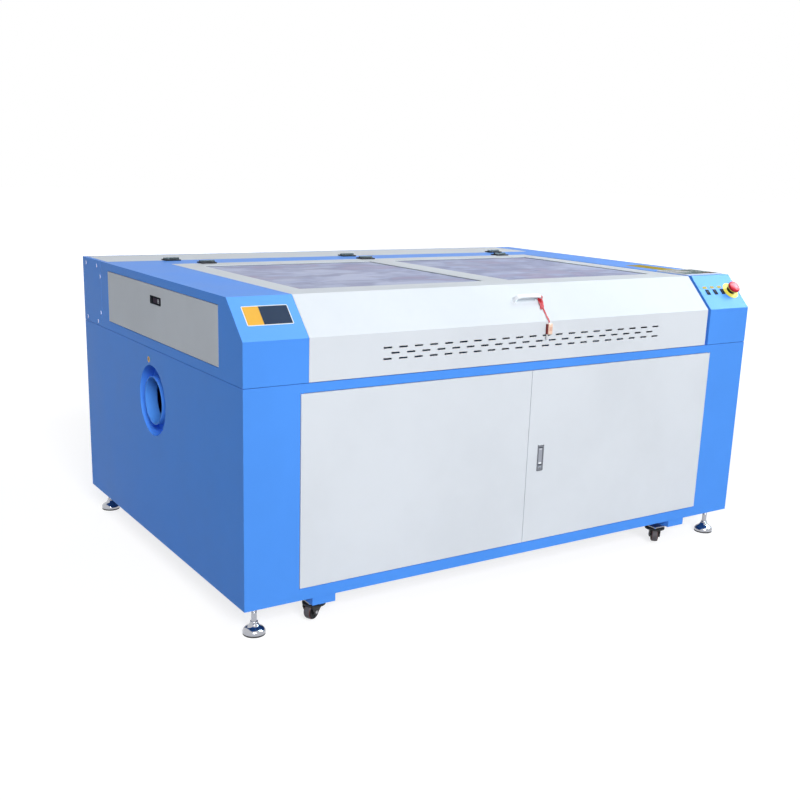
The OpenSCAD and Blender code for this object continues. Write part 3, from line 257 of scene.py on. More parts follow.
def foot_metal(name, chrome_colour, rubber_colour, pad_top):
    """Chrome above a black rubber pad, with a dulled ring where they meet."""
    s = Shader(name)
    metal = s.place()[2].ramp(pad_top - 0.0004, pad_top + 0.0004)
    smear = s.noise(55.0, 4.0, 0.6, (1, 1, 2.5))
    chrome = s.mix(smear.ramp(0.35, 0.75) * 0.5, chrome_colour, (0.46, 0.47, 0.5))
    return s.coat(s.mix(metal, rubber_colour, chrome), 0.62 + metal * smear.ramp(0.3, 0.8, -0.53, -0.4),
                  (s.noise(500.0, 2.0), 0.00006, 0.2), metallic=metal)


def stop_disc(name, disc, neck, height):
    """A plastic plate on the slope: one tone up to a height above the slope, another over it."""
    s = Shader(name)
    _, y, z = s.place()
    out = (z - Z_KNEE * MM) * SLOPE_OUT[2] + (y - Y_FRONT * MM) * SLOPE_OUT[1]
    grain = s.noise(700.0, 2.0)
    return s.coat(s.mix(out > height, disc, neck), 0.36 + grain * 0.08, (grain, 0.0001, 0.12),
                  specular_ior_level=0.02, coat_weight=0.03, coat_roughness=0.15)


def woven_tape(name, colour, turns):
    """Woven tape: crossing threads that follow the piece's own map, with worn pale crowns."""
    s = Shader(name)
    u, v = s.sheet()
    weave = ((u * (2 * math.pi * 9)).sine() * (v * (2 * math.pi * turns)).sine()) * 0.5 + 0.5
    base = s.mix(weave.ramp(0.2, 0.9) * 0.5, darker(colour, 0.7), colour)
    base = s.mix(s.noise(300.0, 3.0, 0.6).ramp(0.6, 0.8) * 0.25, base, (0.95, 0.35, 0.33))
    return s.coat(base, 0.85, (weave, 0.0004, 0.7), sheen_weight=0.4)


def label_print(name, split_at, border, width, height):
    """A printed plate: pale border, a warm field with a thin line inside its edge, and a dark field."""
    s = Shader(name)
    u, v = s.sheet()
    x, y = u * width, v * height
    soft = 0.0002

    def field(inset, right):
        return x.band(inset, right, soft) * y.band(inset, height - inset, soft)

    def within(depth):
        return field(border + depth, split_at - depth)

    inside = field(border, width - border)
    grain = s.noise(700.0, 2.0)
    colour = s.mix(inside, srgb(238, 240, 246), srgb(240, 184, 72))
    colour = s.mix(inside * x.ramp(split_at - soft, split_at + soft), colour, srgb(42, 52, 76))
    colour = s.mix((within(0.0022) - within(0.0027)) * 0.6, colour, srgb(196, 138, 40))
    return s.coat(colour, 0.4 + grain * 0.08, (grain, 0.00005, 0.3), specular_ior_level=0.01)


def tag_print(name, colour, dark):
    """A small tag with a plain darker band across it."""
    s = Shader(name)
    u, v = s.sheet()
    band = v.band(0.3, 0.7, 0.05) * u.band(0.16, 0.84, 0.03)
    return s.coat(s.mix(band * s.noise(900.0, 3.0).ramp(0.25, 0.6), colour, dark), 0.4)


def toothed_belt(name, axis, pitch):
    """Black belt with teeth across it, as ridges every pitch along its run on one axis."""
    s = Shader(name)
    tooth = (s.place()[axis] * (1.0 / pitch)).fraction().band(0.2, 0.8, 0.12)
    dust = s.noise(70.0, 4.0, 0.6).ramp(0.5, 0.8) * 0.4
    return s.coat(s.mix(dust, (0.025, 0.025, 0.027), (0.09, 0.09, 0.095)), 0.6, (tooth, 0.0006, 0.8))


def clear_glass(name, tint, roughness):
    """Drawn glass with slight waviness, seen through an alpha that keeps its edges."""
    s = Shader(name)
    wave = s.noise(24.0, 2.0, stretch=(0.2, 1, 1))
    return s.coat(tint, roughness + wave * 0.03, (wave, 0.0006, 0.3), ior=1.47, alpha=0.32 + wave * 0.06,
                  coat_weight=0.6, coat_roughness=0.05)


# ---------------------------------------------------------------- surfaces


class Surface:
    """Collects grids of points into one mesh and makes it a piece of the machine."""

    def __init__(self):
        self.points = []
        self.faces = []
        self.maps = []
        self.kinds = []
        self.count = 0

    def grid(self, p, around=False, cap=False, kind=0):
        """Adds quads over p[i, j]; around joins the last column to the first, cap closes both ends."""
        rows, cols = p.shape[:2]
        wide = cols if around else cols - 1
        i, j = np.meshgrid(np.arange(rows - 1), np.arange(wide), indexing="ij")
        k = (j + 1) % cols
        quads = np.stack([i * cols + j, i * cols + k, (i + 1) * cols + k, (i + 1) * cols + j], -1)
        u, v = [j / wide, (j + 1) / wide], [i / (rows - 1), (i + 1) / (rows - 1)]
        corner = np.stack([np.stack([u[a], v[b]], -1) for a, b in ((0, 0), (1, 0), (1, 1), (0, 1))], 2)
        self.faces += (quads + self.count).reshape(-1, 4).tolist()
        self.maps += corner.reshape(-1, 4, 2).tolist()
        self.kinds += [kind] * (rows - 1) * wide
        if cap:
            for row, order in ((0, -1), (rows - 1, 1)):
                self.faces.append((np.arange(cols) + row * cols + self.count)[::order].tolist())
                self.maps.append([[0.5, 0.5]] * cols)
                self.kinds.append(kind)
        self.points.append(p.reshape(-1, 3))
        self.count += rows * cols
        return self

    def solid(self, p, kind=0):
        """Adds a closed tube or plate: a grid that goes around and has both its ends closed."""
        return self.grid(p, True, True, kind)

    def face_map(self, origin, u_axis, v_axis):
        """Sets a flat map: a corner's distance along two vectors from an origin, over their length."""
        flat = np.concatenate(self.points) - np.array(origin, float)
        u, v = (flat @ axis / (axis @ axis) for axis in (np.array(u_axis, float), np.array(v_axis, float)))
        self.maps = [[[u[c], v[c]] for c in face] for face in self.faces]
        return self

    def piece(self, name, body, slot, materials, crease=35.0, replaces=None):
        """Makes the object in metres, with outward faces, smooth below the crease angle, on a body."""
        mesh = bpy.data.meshes.new(name)
        mesh.from_pydata((np.concatenate(self.points) * MM).tolist(), [], self.faces)
        layer = mesh.uv_layers.new(name="map")
        layer.data.foreach_set("uv", np.array([c for face in self.maps for c in face]).ravel())
        mesh.polygons.foreach_set("material_index", self.kinds)
        shape = bmesh.new()
        shape.from_mesh(mesh)
        bmesh.ops.remove_doubles(shape, verts=shape.verts, dist=1e-6)
        bmesh.ops.dissolve_degenerate(shape, edges=shape.edges, dist=1e-7)
        bmesh.ops.recalc_face_normals(shape, faces=shape.faces)
        shape.to_mesh(mesh)
        shape.free()
        mesh.set_sharp_from_angle(angle=math.radians(crease))
        mesh.polygons.foreach_set("use_smooth", [True] * len(mesh.polygons))
        for material in materials if isinstance(materials, list) else [materials]:
            mesh.materials.append(material)
        piece = bpy.data.objects.new(name, mesh)
        bpy.context.scene.collection.objects.link(piece)
        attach(piece, body)
        if replaces:
            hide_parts(replaces)
        return piece


def turn(steps):
    """Angles of steps evenly round a circle."""
    return np.arange(steps) * 2 * np.pi / steps


def round_rows(radius, t, z):
    """Points (r cos t, r sin t, z) for rows of radii, angles t and one height z a row."""
    return np.stack([radius * np.cos(t), radius * np.sin(t), np.repeat(z[:, None], len(t), 1)], -1)


def revolve(profile, steps=40):
    """Surface of revolution about +Z: (r cos t, r sin t, z) for each (r, z) of the profile, t once round."""
    r, z = np.array(profile, float).T
    return round_rows(r[:, None], turn(steps), z)


def soft_rectangle(width, height, radius, steps=6):
    """Outline of a rectangle about the origin whose corners are quarter circles of a radius."""
    quarter = np.linspace(0, np.pi / 2, steps)
    arc = radius * np.stack([np.cos(quarter), np.sin(quarter)], -1)
    centre = np.array([width / 2 - radius, height / 2 - radius])
    corners = []
    for number, sign in enumerate(((1, 1), (-1, 1), (-1, -1), (1, -1))):
        c, s = np.cos(number * np.pi / 2), np.sin(number * np.pi / 2)
        corners.append(arc @ np.array([[c, s], [-s, c]]) + centre * np.array(sign))
    return np.concatenate(corners)


def plate(outline, thickness, edge):
    """Plate on z = 0: the outline rises to thickness - edge, then draws in by edge along a quarter circle."""
    centre = outline.mean(0)
    half = np.abs(outline - centre).max(0)
    t = np.linspace(0, np.pi / 2, 4)
    rise = np.concatenate([[0.0], thickness - edge + edge * np.sin(t)])
    draw = np.concatenate([[0.0], edge * (1 - np.cos(t))])
    scale = 1 - draw[:, None] / half[None, :]
    flat = centre + (outline - centre)[None] * scale[:, None, :]
    return np.concatenate([flat, np.repeat(rise[:, None, None], len(outline), 1)], -1)


def tile(width, height, radius, thickness, edge, steps=6):
    """Plate on z = 0 with a soft rectangle as its outline."""
    return plate(soft_rectangle(width, height, radius, steps), thickness, edge)


def rim(outer, inner, thickness, edge, steps=6):
    """Frame between two soft rectangles: up outside, over, down inside, and back underneath."""
    a, b = soft_rectangle(*outer, steps), soft_rectangle(*inner, steps)
    lift = [(a, 0.0), (a, thickness - edge), (a * 0.995 + b * 0.005, thickness),
            (b * 0.995 + a * 0.005, thickness), (b, thickness - edge), (b, 0.0), (a, 0.0)]
    return np.stack([np.concatenate([line, np.full((len(line), 1), z)], -1) for line, z in lift])


def placed(points, origin, x_axis=(1, 0, 0), z_axis=(0, 0, 1)):
    """Turns points so that their own +X and +Z follow two given directions, and moves them to an origin."""
    z = np.array(z_axis, float) / np.linalg.norm(z_axis)
    x = np.array(x_axis, float)
    x = x - z * (x @ z)
    x = x / np.linalg.norm(x)
    return points @ np.stack([x, np.cross(z, x), z]) + np.array(origin, float)


def slope_point(x, up, out=0.0):
    """Point at x, a distance up the sloping front from its lower fold and a height out of it."""
    return np.array([x, Y_FRONT, Z_KNEE]) + up * SLOPE_UP + out * SLOPE_OUT


def on_slope(points, x, up, out=0.0):
    """Lays points on the sloping front: their own X along the machine, their own Y up the slope."""
    return placed(points, slope_point(x, up, out), (1, 0, 0), SLOPE_OUT)


def path_frames(path):
    """Unit tangents of a path of points, and two unit vectors across each, the first one level."""
    tangent = np.gradient(path, axis=0)
    tangent /= np.linalg.norm(tangent, axis=1)[:, None]
    side = np.cross(tangent, np.array([0.0, 0.0, 1.0]))
    side[np.linalg.norm(side, axis=1) < 1e-6] = [1.0, 0.0, 0.0]
    side /= np.linalg.norm(side, axis=1)[:, None]
    return tangent, side, np.cross(side, tangent)


def swept(path, across, over, power=2.0, steps=20, side=None):
    """Tube along a path: section |a / across|^power + |b / over|^power = 1 at each point of the path."""
    tangent, side_a, side_b = path_frames(path)
    if side is not None:
        side_a = np.repeat(np.array([side], float), len(path), 0)
        side_b = np.cross(side_a, tangent)
    c, s = np.cos(turn(steps)), np.sin(turn(steps))
    a = np.broadcast_to(across, len(path))[:, None] * np.sign(c) * np.abs(c) ** (2 / power)
    b = np.broadcast_to(over, len(path))[:, None] * np.sign(s) * np.abs(s) ** (2 / power)
    return path[:, None, :] + a[..., None] * side_a[:, None, :] + b[..., None] * side_b[:, None, :]


def smooth_path(points, count):
    """Points of a smooth curve through given points: a cubic between neighbours, spaced evenly."""
    p = np.array(points, float)
    p = np.concatenate([[2 * p[0] - p[1]], p, [2 * p[-1] - p[-2]]])
    t = np.linspace(0, 1, 12, endpoint=False)[:, None]
    spans = [0.5 * (2 * b + (c - a) * t + (2 * a - 5 * b + 4 * c - d) * t**2 + (3 * b - a - 3 * c + d) * t**3)
             for a, b, c, d in zip(p, p[1:], p[2:], p[3:])]
    curve = np.concatenate(spans + [p[-2:-1]])
    reach = np.concatenate([[0], np.cumsum(np.linalg.norm(np.diff(curve, axis=0), axis=1))])
    even = np.linspace(0, reach[-1], count)
    return np.stack([np.interp(even, reach, curve[:, k]) for k in range(3)], -1)


def screw_head(radius, height, recess):
    """Pan head on z = 0 with a round-cornered top, sinking to a recess in its middle."""
    return revolve([(0, 0), (radius * 0.96, 0), (radius, height * 0.35), (radius * 0.86, height * 0.8),
                    (radius * 0.6, height), (recess, height), (recess * 0.9, height * 0.45),
                    (0, height * 0.4)], 20)


def paint(material, *names):
    """Gives CAD nodes their finish."""
    for name in names:
        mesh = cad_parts[name].data
        mesh.materials.clear()
        mesh.materials.append(material)


# ---------------------------------------------------------------- sizes and colours


LENGTH = {"unit": "LENGTH", "subtype": "DISTANCE"}
COLOUR = {"size": 3, "min": 0.0, "max": 1.0, "subtype": "COLOR"}


class EngraverSizes(bpy.types.PropertyGroup):
    """Sizes of the fittings and of the finishes"""

    cover_screw: FloatProperty(
        name="Cover screw radius", description="Radius of the pan heads on the tube end cover",
        default=0.006, min=0.003, max=0.007, **LENGTH)
    hinge_screw: FloatProperty(
        name="Hinge screw radius", description="Radius of the screws in the hinge leaves",
        default=0.0033, min=0.002, max=0.004, **LENGTH)
    handle_width: FloatProperty(
        name="Handle width", description="Width of the lid handle's bow",
        default=0.014, min=0.01, max=0.02, **LENGTH)
    handle_thickness: FloatProperty(
        name="Handle thickness", description="Thickness of the lid handle's bow",
        default=0.008, min=0.005, max=0.01, **LENGTH)
    tape_width: FloatProperty(
        name="Tape width", description="Width of the flat tape that holds the key",
        default=0.0066, min=0.004, max=0.0074, **LENGTH)
    label_size: FloatVectorProperty(
        name="Slope label", description="Length and width of the plain label on the left slope",
        default=(0.133, 0.063), size=2, unit="LENGTH")
    sticker_size: FloatVectorProperty(
        name="Top sticker", description="Length and depth of the plain sticker on the right top",
        default=(0.075, 0.2), size=2, unit="LENGTH")
    thread_pitch: FloatProperty(
        name="Foot thread pitch", description="Distance between the threads of a levelling foot",
        default=0.002, min=0.0015, max=0.003, **LENGTH)
    grip_flutes: IntProperty(
        name="Stop button flutes", description="Grip flutes round the emergency stop's head",
        default=24, min=12, max=36)
    paint_roughness: FloatProperty(
        name="Paint roughness", description="Roughness of the powder coat",
        default=0.36, min=0.1, max=0.9, subtype="FACTOR")


class EngraverColours(bpy.types.PropertyGroup):
    """Colours of the finishes"""

    blue: FloatVectorProperty(
        name="Cabinet blue", description="Powder coat of the cabinet and housings",
        default=(0.092, 0.334, 0.985), **COLOUR)
    white: FloatVectorProperty(
        name="Door white", description="Powder coat of the lid, doors and side panel",
        default=srgb(224, 230, 238), **COLOUR)
    film: FloatVectorProperty(
        name="Window film", description="Main tone of the film on the lid windows",
        default=srgb(106, 120, 172), **COLOUR)
    stop_red: FloatVectorProperty(
        name="Stop button red", description="Head of the emergency stop",
        default=srgb(214, 38, 58), **COLOUR)
    stop_yellow: FloatVectorProperty(
        name="Stop button yellow", description="Disc under the emergency stop",
        default=srgb(244, 232, 96), **COLOUR)
    tape_red: FloatVectorProperty(
        name="Tape red", description="Woven tape that holds the key",
        default=srgb(232, 22, 44), **COLOUR)


# ---------------------------------------------------------------- stage and key


class ENGRAVER_OT_stage(bpy.types.Operator):
    """Sets the camera, the pale floor, the plain background and the soft lamps"""

    bl_idname = "engraver.stage"
    bl_label = "Stage"

    def execute(self, context):
        scene = context.scene
        data = bpy.data.cameras.new("camera")
        data.lens, data.sensor_width = 47.27, 36.0
        data.shift_x, data.shift_y = 0.0217, 0.0504
        data.clip_start, data.clip_end = 0.05, 200.0
        camera = self.link(scene, data, (-2.0485, -3.0428, 1.26))
        camera.rotation_euler = Euler([math.radians(a) for a in (75.294, -1.554, -32.162)])
        scene.camera = camera
        daylight = (1.0, 0.99, 0.98)
        self.lamp(scene, "key_lamp", (-4.1, -11.8, 7.2), aim=(0.0, -0.6, 0.5), size=5.5, power=1540.0,
                  colour=daylight)
        self.lamp(scene, "slope_lamp", (2.9, -1.6, 4.0), aim=(0.3, -0.5, 0.85), size=2.4, power=56.0,
                  colour=(1.0, 0.99, 0.96))
        sheen = self.lamp(scene, "sheen_lamp", (2.45, -1.1, 4.1), aim=(0.2, -0.6, 0.85), size=2.2,
                          power=1480.0, colour=(0.58, 0.88, 1.0), shape=2.6)
        sheen.visible_diffuse = False
        back = self.lamp(scene, "back_lamp", (5.5, 10.5, 2.7), aim=(0.0, 0.6, 0.5), size=2.4, power=720.0,
                         colour=daylight)
        back.visible_glossy = False
        self.background(scene)
        self.floor(scene)
        scene.view_settings.view_transform = "Standard"
        return {"FINISHED"}

    def link(self, scene, data, place=(0, 0, 0)):
        made = bpy.data.objects.new(data.name, data)
        made.location = place
        scene.collection.objects.link(made)
        return made

    def lamp(self, scene, name, place, aim, size, power, colour, shape=0.8):
        data = bpy.data.lights.new(name, "AREA")
        data.shape, data.size, data.size_y = "RECTANGLE", size, size * shape
        data.energy, data.color = power, colour
        lamp = self.link(scene, data, place)
        lamp.rotation_mode = "QUATERNION"
        lamp.rotation_quaternion = (Vector(aim) - Vector(place)).to_track_quat("-Z", "Y")
        return lamp

    def seen(self, s):
        """1 for rays of the camera, of a mirror image and through glass, and 0 for light on a surface"""
        outputs = s.add("ShaderNodeLightPath").socket.node.outputs
        camera, glossy, through = (
            Value(s, outputs[f"Is {ray} Ray"]) for ray in ("Camera", "Glossy", "Transmission"))
        return (camera + glossy + through).minimum(1.0)

    def background(self, scene):
        world = bpy.data.worlds.new("background")
        s = Shader("world", world)
        plain = s.add("ShaderNodeBackground", {}, {0: (1.0, 1.0, 1.0), 1: 1.0})
        soft = s.add("ShaderNodeBackground", {}, {0: (0.88, 0.95, 1.0), 1: 0.185})
        both = s.add("ShaderNodeMixShader", {}, {0: self.seen(s), 1: soft, 2: plain})
        s.finish(both, "ShaderNodeOutputWorld")
        scene.world = world

    def floor(self, scene):
        s = Shader("floor_paint")
        x, y = s.place()[:2]
        glow = 0.8 + (x * x + y * y).root().ramp(1.6, 4.5) * 0.2
        near = s.add("ShaderNodeBsdfDiffuse", {}, {0: (0.26, 0.26, 0.265), 1: 0.6})
        light = s.add("ShaderNodeEmission", {}, {0: s.vector(glow, glow, glow), 1: 1.0})
        shown = s.add("ShaderNodeAddShader", {}, {0: near, 1: light})
        plain = s.add("ShaderNodeBsdfDiffuse", {}, {0: (0.5, 0.5, 0.5), 1: 0.6})
        both = s.add("ShaderNodeMixShader", {}, {0: self.seen(s), 1: plain, 2: shown})
        mesh = bpy.data.meshes.new("floor")
        half = 40.0
        corners = [(-half, -half, 0), (half, -half, 0), (half, half, 0), (-half, half, 0)]
        mesh.from_pydata(corners, [], [(0, 1, 2, 3)])
        mesh.materials.append(s.finish(both))
        self.link(scene, mesh)


# Route of the key's tape, from the handle down the slope and over the knee
TAPE_ROUTE = np.array([
    [55, -611, 884], [55.5, -614.5, 881], [56, -617, 876.5], [55.5, -618.8, 871], [55, -621, 866],
    [54.5, -623.6, 861.5], [54, -626.6, 857.4], [54, -630, 853.6], [53.5, -633.5, 850], [53, -637, 846.4],
    [53, -640.5, 842.8], [52.5, -644, 839.2], [52.5, -647.5, 835.7], [52.5, -651, 832.1],
    [52.5, -654.5, 828.6], [52.5, -658, 825], [52.5, -661, 821.5], [52.5, -662.5, 817.5], [52.5, -663, 814]])

# Folded ends of the knot, each as points of x, distance up the slope and height out of it
KNOT_FOLDS = (((55, 84, 13), (55.5, 76, 8.5), (54, 66, 5.6), (50, 55, 4.6), (45.5, 46, 3.6), (44, 41, 2.4)),
              ((51, 86, 14), (49, 79, 10), (48.5, 70, 6), (50.5, 59, 3.4), (53, 48, 3.2), (54, 40, 3.0)),
              ((56, 88, 12), (58, 82, 9), (58.5, 74, 6.4), (57, 64, 5.0), (54.5, 53, 4.6), (53, 44, 4.4)))


class ENGRAVER_OT_key_tape(bpy.types.Operator):
    """Makes the woven tape on the handle, the knot where it is tied, and the key with its fob"""

    bl_idname = "engraver.key_tape"
    bl_label = "Key and tape"

    def execute(self, context):
        tape = woven_tape("red_tape", context.scene.engraver_colours.tape_red, 60)
        half = context.scene.engraver_sizes.tape_width / MM / 2
        path = smooth_path(TAPE_ROUTE, 90)
        curl = 0.86 + 0.14 * np.cos(np.linspace(0, 1, len(path)) * 23 + 0.6)
        ribbon = Surface().solid(swept(path, half * curl, 0.62 * (1.9 - curl), 2.6, 14))
        strap = ribbon.piece("key_tape", "lid", "red_cord", tape, replaces="key_cord")
        knot = self.knot(tape, half)
        fob = self.fob()
        self.key()
        return {"FINISHED"}

    def knot(self, tape, half):
        """Tape tied round the handle's leg: a ring r = r0 + a cos 3t in two turns, and three folded ends"""
        t = np.linspace(0, 4 * np.pi, 96)
        radius = 8.8 + 0.6 * np.cos(3 * t)
        loop = np.stack([radius * 0.72 * np.cos(t), radius * 1.12 * np.sin(t),
                         5 * (t / (4 * np.pi) - 0.5)], -1)
        knot = Surface().solid(swept(on_slope(loop, 52, 80, 12.5), 1.0, half * 0.8, 2.4, 10))
        run = np.linspace(0, 1, 36)
        for number, fold in enumerate(KNOT_FOLDS):
            line = smooth_path([slope_point(*point) for point in fold], 36)
            width = half * (0.95 + 0.45 * np.sin(np.pi * run) + 0.12 * np.sin(9 * run + 2 * number))
            knot.solid(swept(line, width * np.clip(6 * (1.02 - run), 0.1, 1), 0.55, 2.6, 12))
        return knot.piece("key_tape_knot", "lid", "red_cord", tape)

    def fob(self):
        """Rounded fob that hangs from the tape, with a darker edge strip down its left side and a ring"""
        top = TAPE_ROUTE[-1]
        centre = np.array([top[0], node_box("key_tag")[2][1], top[2] - 17])
        shape = Surface().solid(placed(tile(17, 33, 3, 7.4, 1.6), centre + (2.4, 3.7, 0), *ON_FRONT))
        shape.face_map(centre + (-6, 0, -16.5), (17, 0, 0), (0, 0, 33))
        shape.solid(placed(tile(5.2, 31, 1.6, 6.6, 1.2), centre + (-8.3, 3.3, 0), *ON_FRONT), 1)
        t = np.linspace(0, 2 * np.pi, 25)
        ring = np.stack([4.2 * np.cos(t), 0 * t, 4.2 * np.sin(t)], -1) + centre + (0, 0, 14.4)
        band = swept(ring, 0.55, 0.55, 2.0, 8)[:-1].transpose(1, 0, 2)
        shape.grid(np.concatenate([band, band[:1]]), True, False, 2)
        return shape.piece("key_fob", "lid", "tag_plastic", [
            tag_print("fob_plastic", srgb(246, 212, 190), srgb(226, 172, 150)),
            moulded("fob_edge", srgb(112, 34, 34), 0.45),
            plain_metal("fob_ring", (0.62, 0.62, 0.64), 0.22)], replaces="key_tag")

    def key(self):
        """Flat key below the fob: a blade outline with a pointed tip and cuts along one edge, thickened"""
        low, _, middle = node_box("key_tag")
        tall, pointed, thick = 19, 3, np.array([0.35, 0.9, 0.9, 0.35])
        rise = np.linspace(0, tall, 39)
        reach, tip = rise / tall, np.clip(rise / pointed, 0, 1)
        left = low[0] + 3.0 * (1 - tip)
        right = low[0] + 7 - 1.5 * np.abs(((reach * 7) % 1.0) - 0.5) * 2 * (reach < 0.8)
        right = np.minimum(right, low[0] + 3.6 + 3.4 * tip)
        across = np.stack([left, left + 0.3, right - 0.3, right], -1)
        z = np.repeat(low[2] + rise[:, None], 4, 1)
        front, back = (
            np.stack([across[:, ::side], np.broadcast_to(middle[1] - side * thick, across.shape), z], -1)
            for side in (1, -1))
        blade = Surface().solid(np.concatenate([front, back], 1))
        blade.piece("key_blade", "lid", "plated_steel",
                    plain_metal("key_steel", (0.55, 0.55, 0.57), 0.25, (1, 1, 0.1)))


# ---------------------------------------------------------------- sheet metal


class ENGRAVER_OT_sheet_finishes(bpy.types.Operator):
    """Paints the cabinet, housings, lid, doors and panels"""

    bl_idname = "engraver.sheet_finishes"
    bl_label = "Sheet finishes"

    def execute(self, context):
        roughness, colours = context.scene.engraver_sizes.paint_roughness, context.scene.engraver_colours
        paint(sheet_paint("blue_coat", colours.blue, roughness, 0.035),
              "base_frame", "cabinet_left_panel", "cabinet_right_panel", "cabinet_back_panel", "front_frame",
              "deck", "exhaust_collar", "left_end_housing", "right_end_housing", "tube_bay", "tube_end_cover")
        paint(sheet_paint("white_coat", colours.white, roughness + 0.02, 0.01),
              "lid_shell", "tube_bay_cover", "door_left", "door_right", "side_panel")
        return {"FINISHED"}


class ENGRAVER_OT_cover_screws(bpy.types.Operator):
    """Makes the plated pan heads on the tube end cover's side and back"""

    bl_idname = "engraver.cover_screws"
    bl_label = "End cover screws"

    def execute(self, context):
        heads = Surface()
        head = screw_head(context.scene.engraver_sizes.cover_screw / MM, 1.95, 0.9)
        side_places = ((505, 904), (622, 904), (471, 870), (476, 748), (510, 715), (625, 716))
        for y, z in side_places:
            heads.grid(placed(head, (X_LEFT, y, z), (0, 1, 0), (-1, 0, 0)), True)
        for z in (870, 748):
            heads.grid(placed(head, (X_LEFT + 16, Y_BACK, z), (1, 0, 0), (0, 1, 0)), True)
        heads.piece("end_cover_screws", "machine", "plated_steel",
                    plain_metal("screw_plating", (0.92, 0.92, 0.94), 0.22, grain_depth=0.1))
        return {"FINISHED"}


class ENGRAVER_OT_windows(bpy.types.Operator):
    """Gives the lid windows their wrinkled protective film and a thin seal round each opening"""

    bl_idname = "engraver.windows"
    bl_label = "Lid windows"

    def execute(self, context):
        paint(film_over_acrylic("window_film", context.scene.engraver_colours.film, srgb(74, 86, 152),
                                srgb(168, 178, 214), srgb(150, 112, 156)), "lid_windows")
        low, high, middle = node_box("lid_windows")
        lap, bar_left, bar_right, seal = 14, -43, 53, 3
        deep = high[1] - low[1] - 2 * lap
        seals = Surface()
        for x0, x1 in ((low[0] + lap, bar_left), (bar_right, high[0] - lap)):
            band = rim((x1 - x0, deep, 0.5), (x1 - x0 - seal, deep - seal, 0.5), 0.9, 0.4, 3)
            seals.grid(placed(band, ((x0 + x1) / 2, middle[1], high[2])), True)
        seals.piece("window_seals", "lid", "black_plastic", moulded("seal_rubber", (0.05, 0.05, 0.055), 0.6))
        return {"FINISHED"}


class ENGRAVER_OT_lid_handle(bpy.types.Operator):
    """Makes the white bow handle with its diamond-shaped feet"""

    bl_idname = "engraver.lid_handle"
    bl_label = "Lid handle"

    def execute(self, context):
        sizes = context.scene.engraver_sizes
        half_w, half_t = sizes.handle_width / MM / 2, sizes.handle_thickness / MM / 2
        rise = 26 - half_t
        arm = [(47.5, 2), (47, 9), (44, 16.5), (36, rise - 1.6), (20, rise - 0.3)]
        line = [(-x, 0, z) for x, z in arm] + [(0, 0, rise)] + [(x, 0, z) for x, z in arm[::-1]]
        run = np.abs(np.linspace(-1, 1, 70))
        tube = swept(smooth_path(line, len(run)), half_w * (0.94 + 0.12 * run**3),
                     half_t * (1 - 0.12 * run**4), 3.2, 24, side=(0, 1, 0))
        handle = Surface().solid(on_slope(tube, 5, 80))
        corners = np.array([(9.5, 0), (0, 13), (-9.5, 0), (0, -13)])
        t = np.linspace(0, 1, 8, endpoint=False)[:, None]
        edges = np.concatenate([a * (1 - t) + b * t for a, b in zip(corners, np.roll(corners, -1, 0))])
        outline = edges * (1 - 0.06 * np.cos(4 * np.arctan2(edges[:, 1], edges[:, 0])))[:, None]
        foot = plate(outline, 4.6, 1.4)
        for x in (-44, 44):
            handle.solid(on_slope(foot + (x, 0, 0), 5, 80))
        handle.piece("lid_handle_bow", "lid", "white_plastic", moulded(
            "handle_plastic", srgb(236, 240, 246), 0.3, 700.0, 0.12, 0.3), 45.0, replaces="lid_handle")
        return {"FINISHED"}


class ENGRAVER_OT_hinges(bpy.types.Operator):
    """Gives the hinges their black coat, and makes the countersunk screws in their leaves"""

    bl_idname = "engraver.hinges"
    bl_label = "Hinges"

    def execute(self, context):
        paint(moulded("hinge_coat", (0.014, 0.016, 0.022), 0.42, 500.0, 0.25, shine=0.2),
              "fixed_hinge_leaves", "lid_hinge_leaves", "cover_hinge_leaves")
        steel = plain_metal("hinge_screw_steel", (0.16, 0.16, 0.17), 0.35)
        leaf_top, reach = Z_TOP + 4, 14.5
        head = screw_head(context.scene.engraver_sizes.hinge_screw / MM, 0.9, 1.3)
        lid_line, cover_line = 308.5, 433.5
        lid_x, cover_x = (-633, -5, 623), (-711.5, -11.5, 688.5)
        for name, body, lines in (
                ("fixed_leaf_screws", "machine", ((lid_x, lid_line + reach), (cover_x, cover_line - reach))),
                ("lid_leaf_screws", "lid", ((lid_x, lid_line - reach),)),
                ("cover_leaf_screws", "cover", ((cover_x, cover_line + reach),))):
            screws = Surface()
            for x, y, step in ((x, y, step) for row, y in lines for x in row for step in (-16, 16)):
                screws.grid(placed(head, (x + step, y, leaf_top)), True)
            screws.piece(name, body, "dark_steel", steel)
        return {"FINISHED"}


# ---------------------------------------------------------------- labels and controls


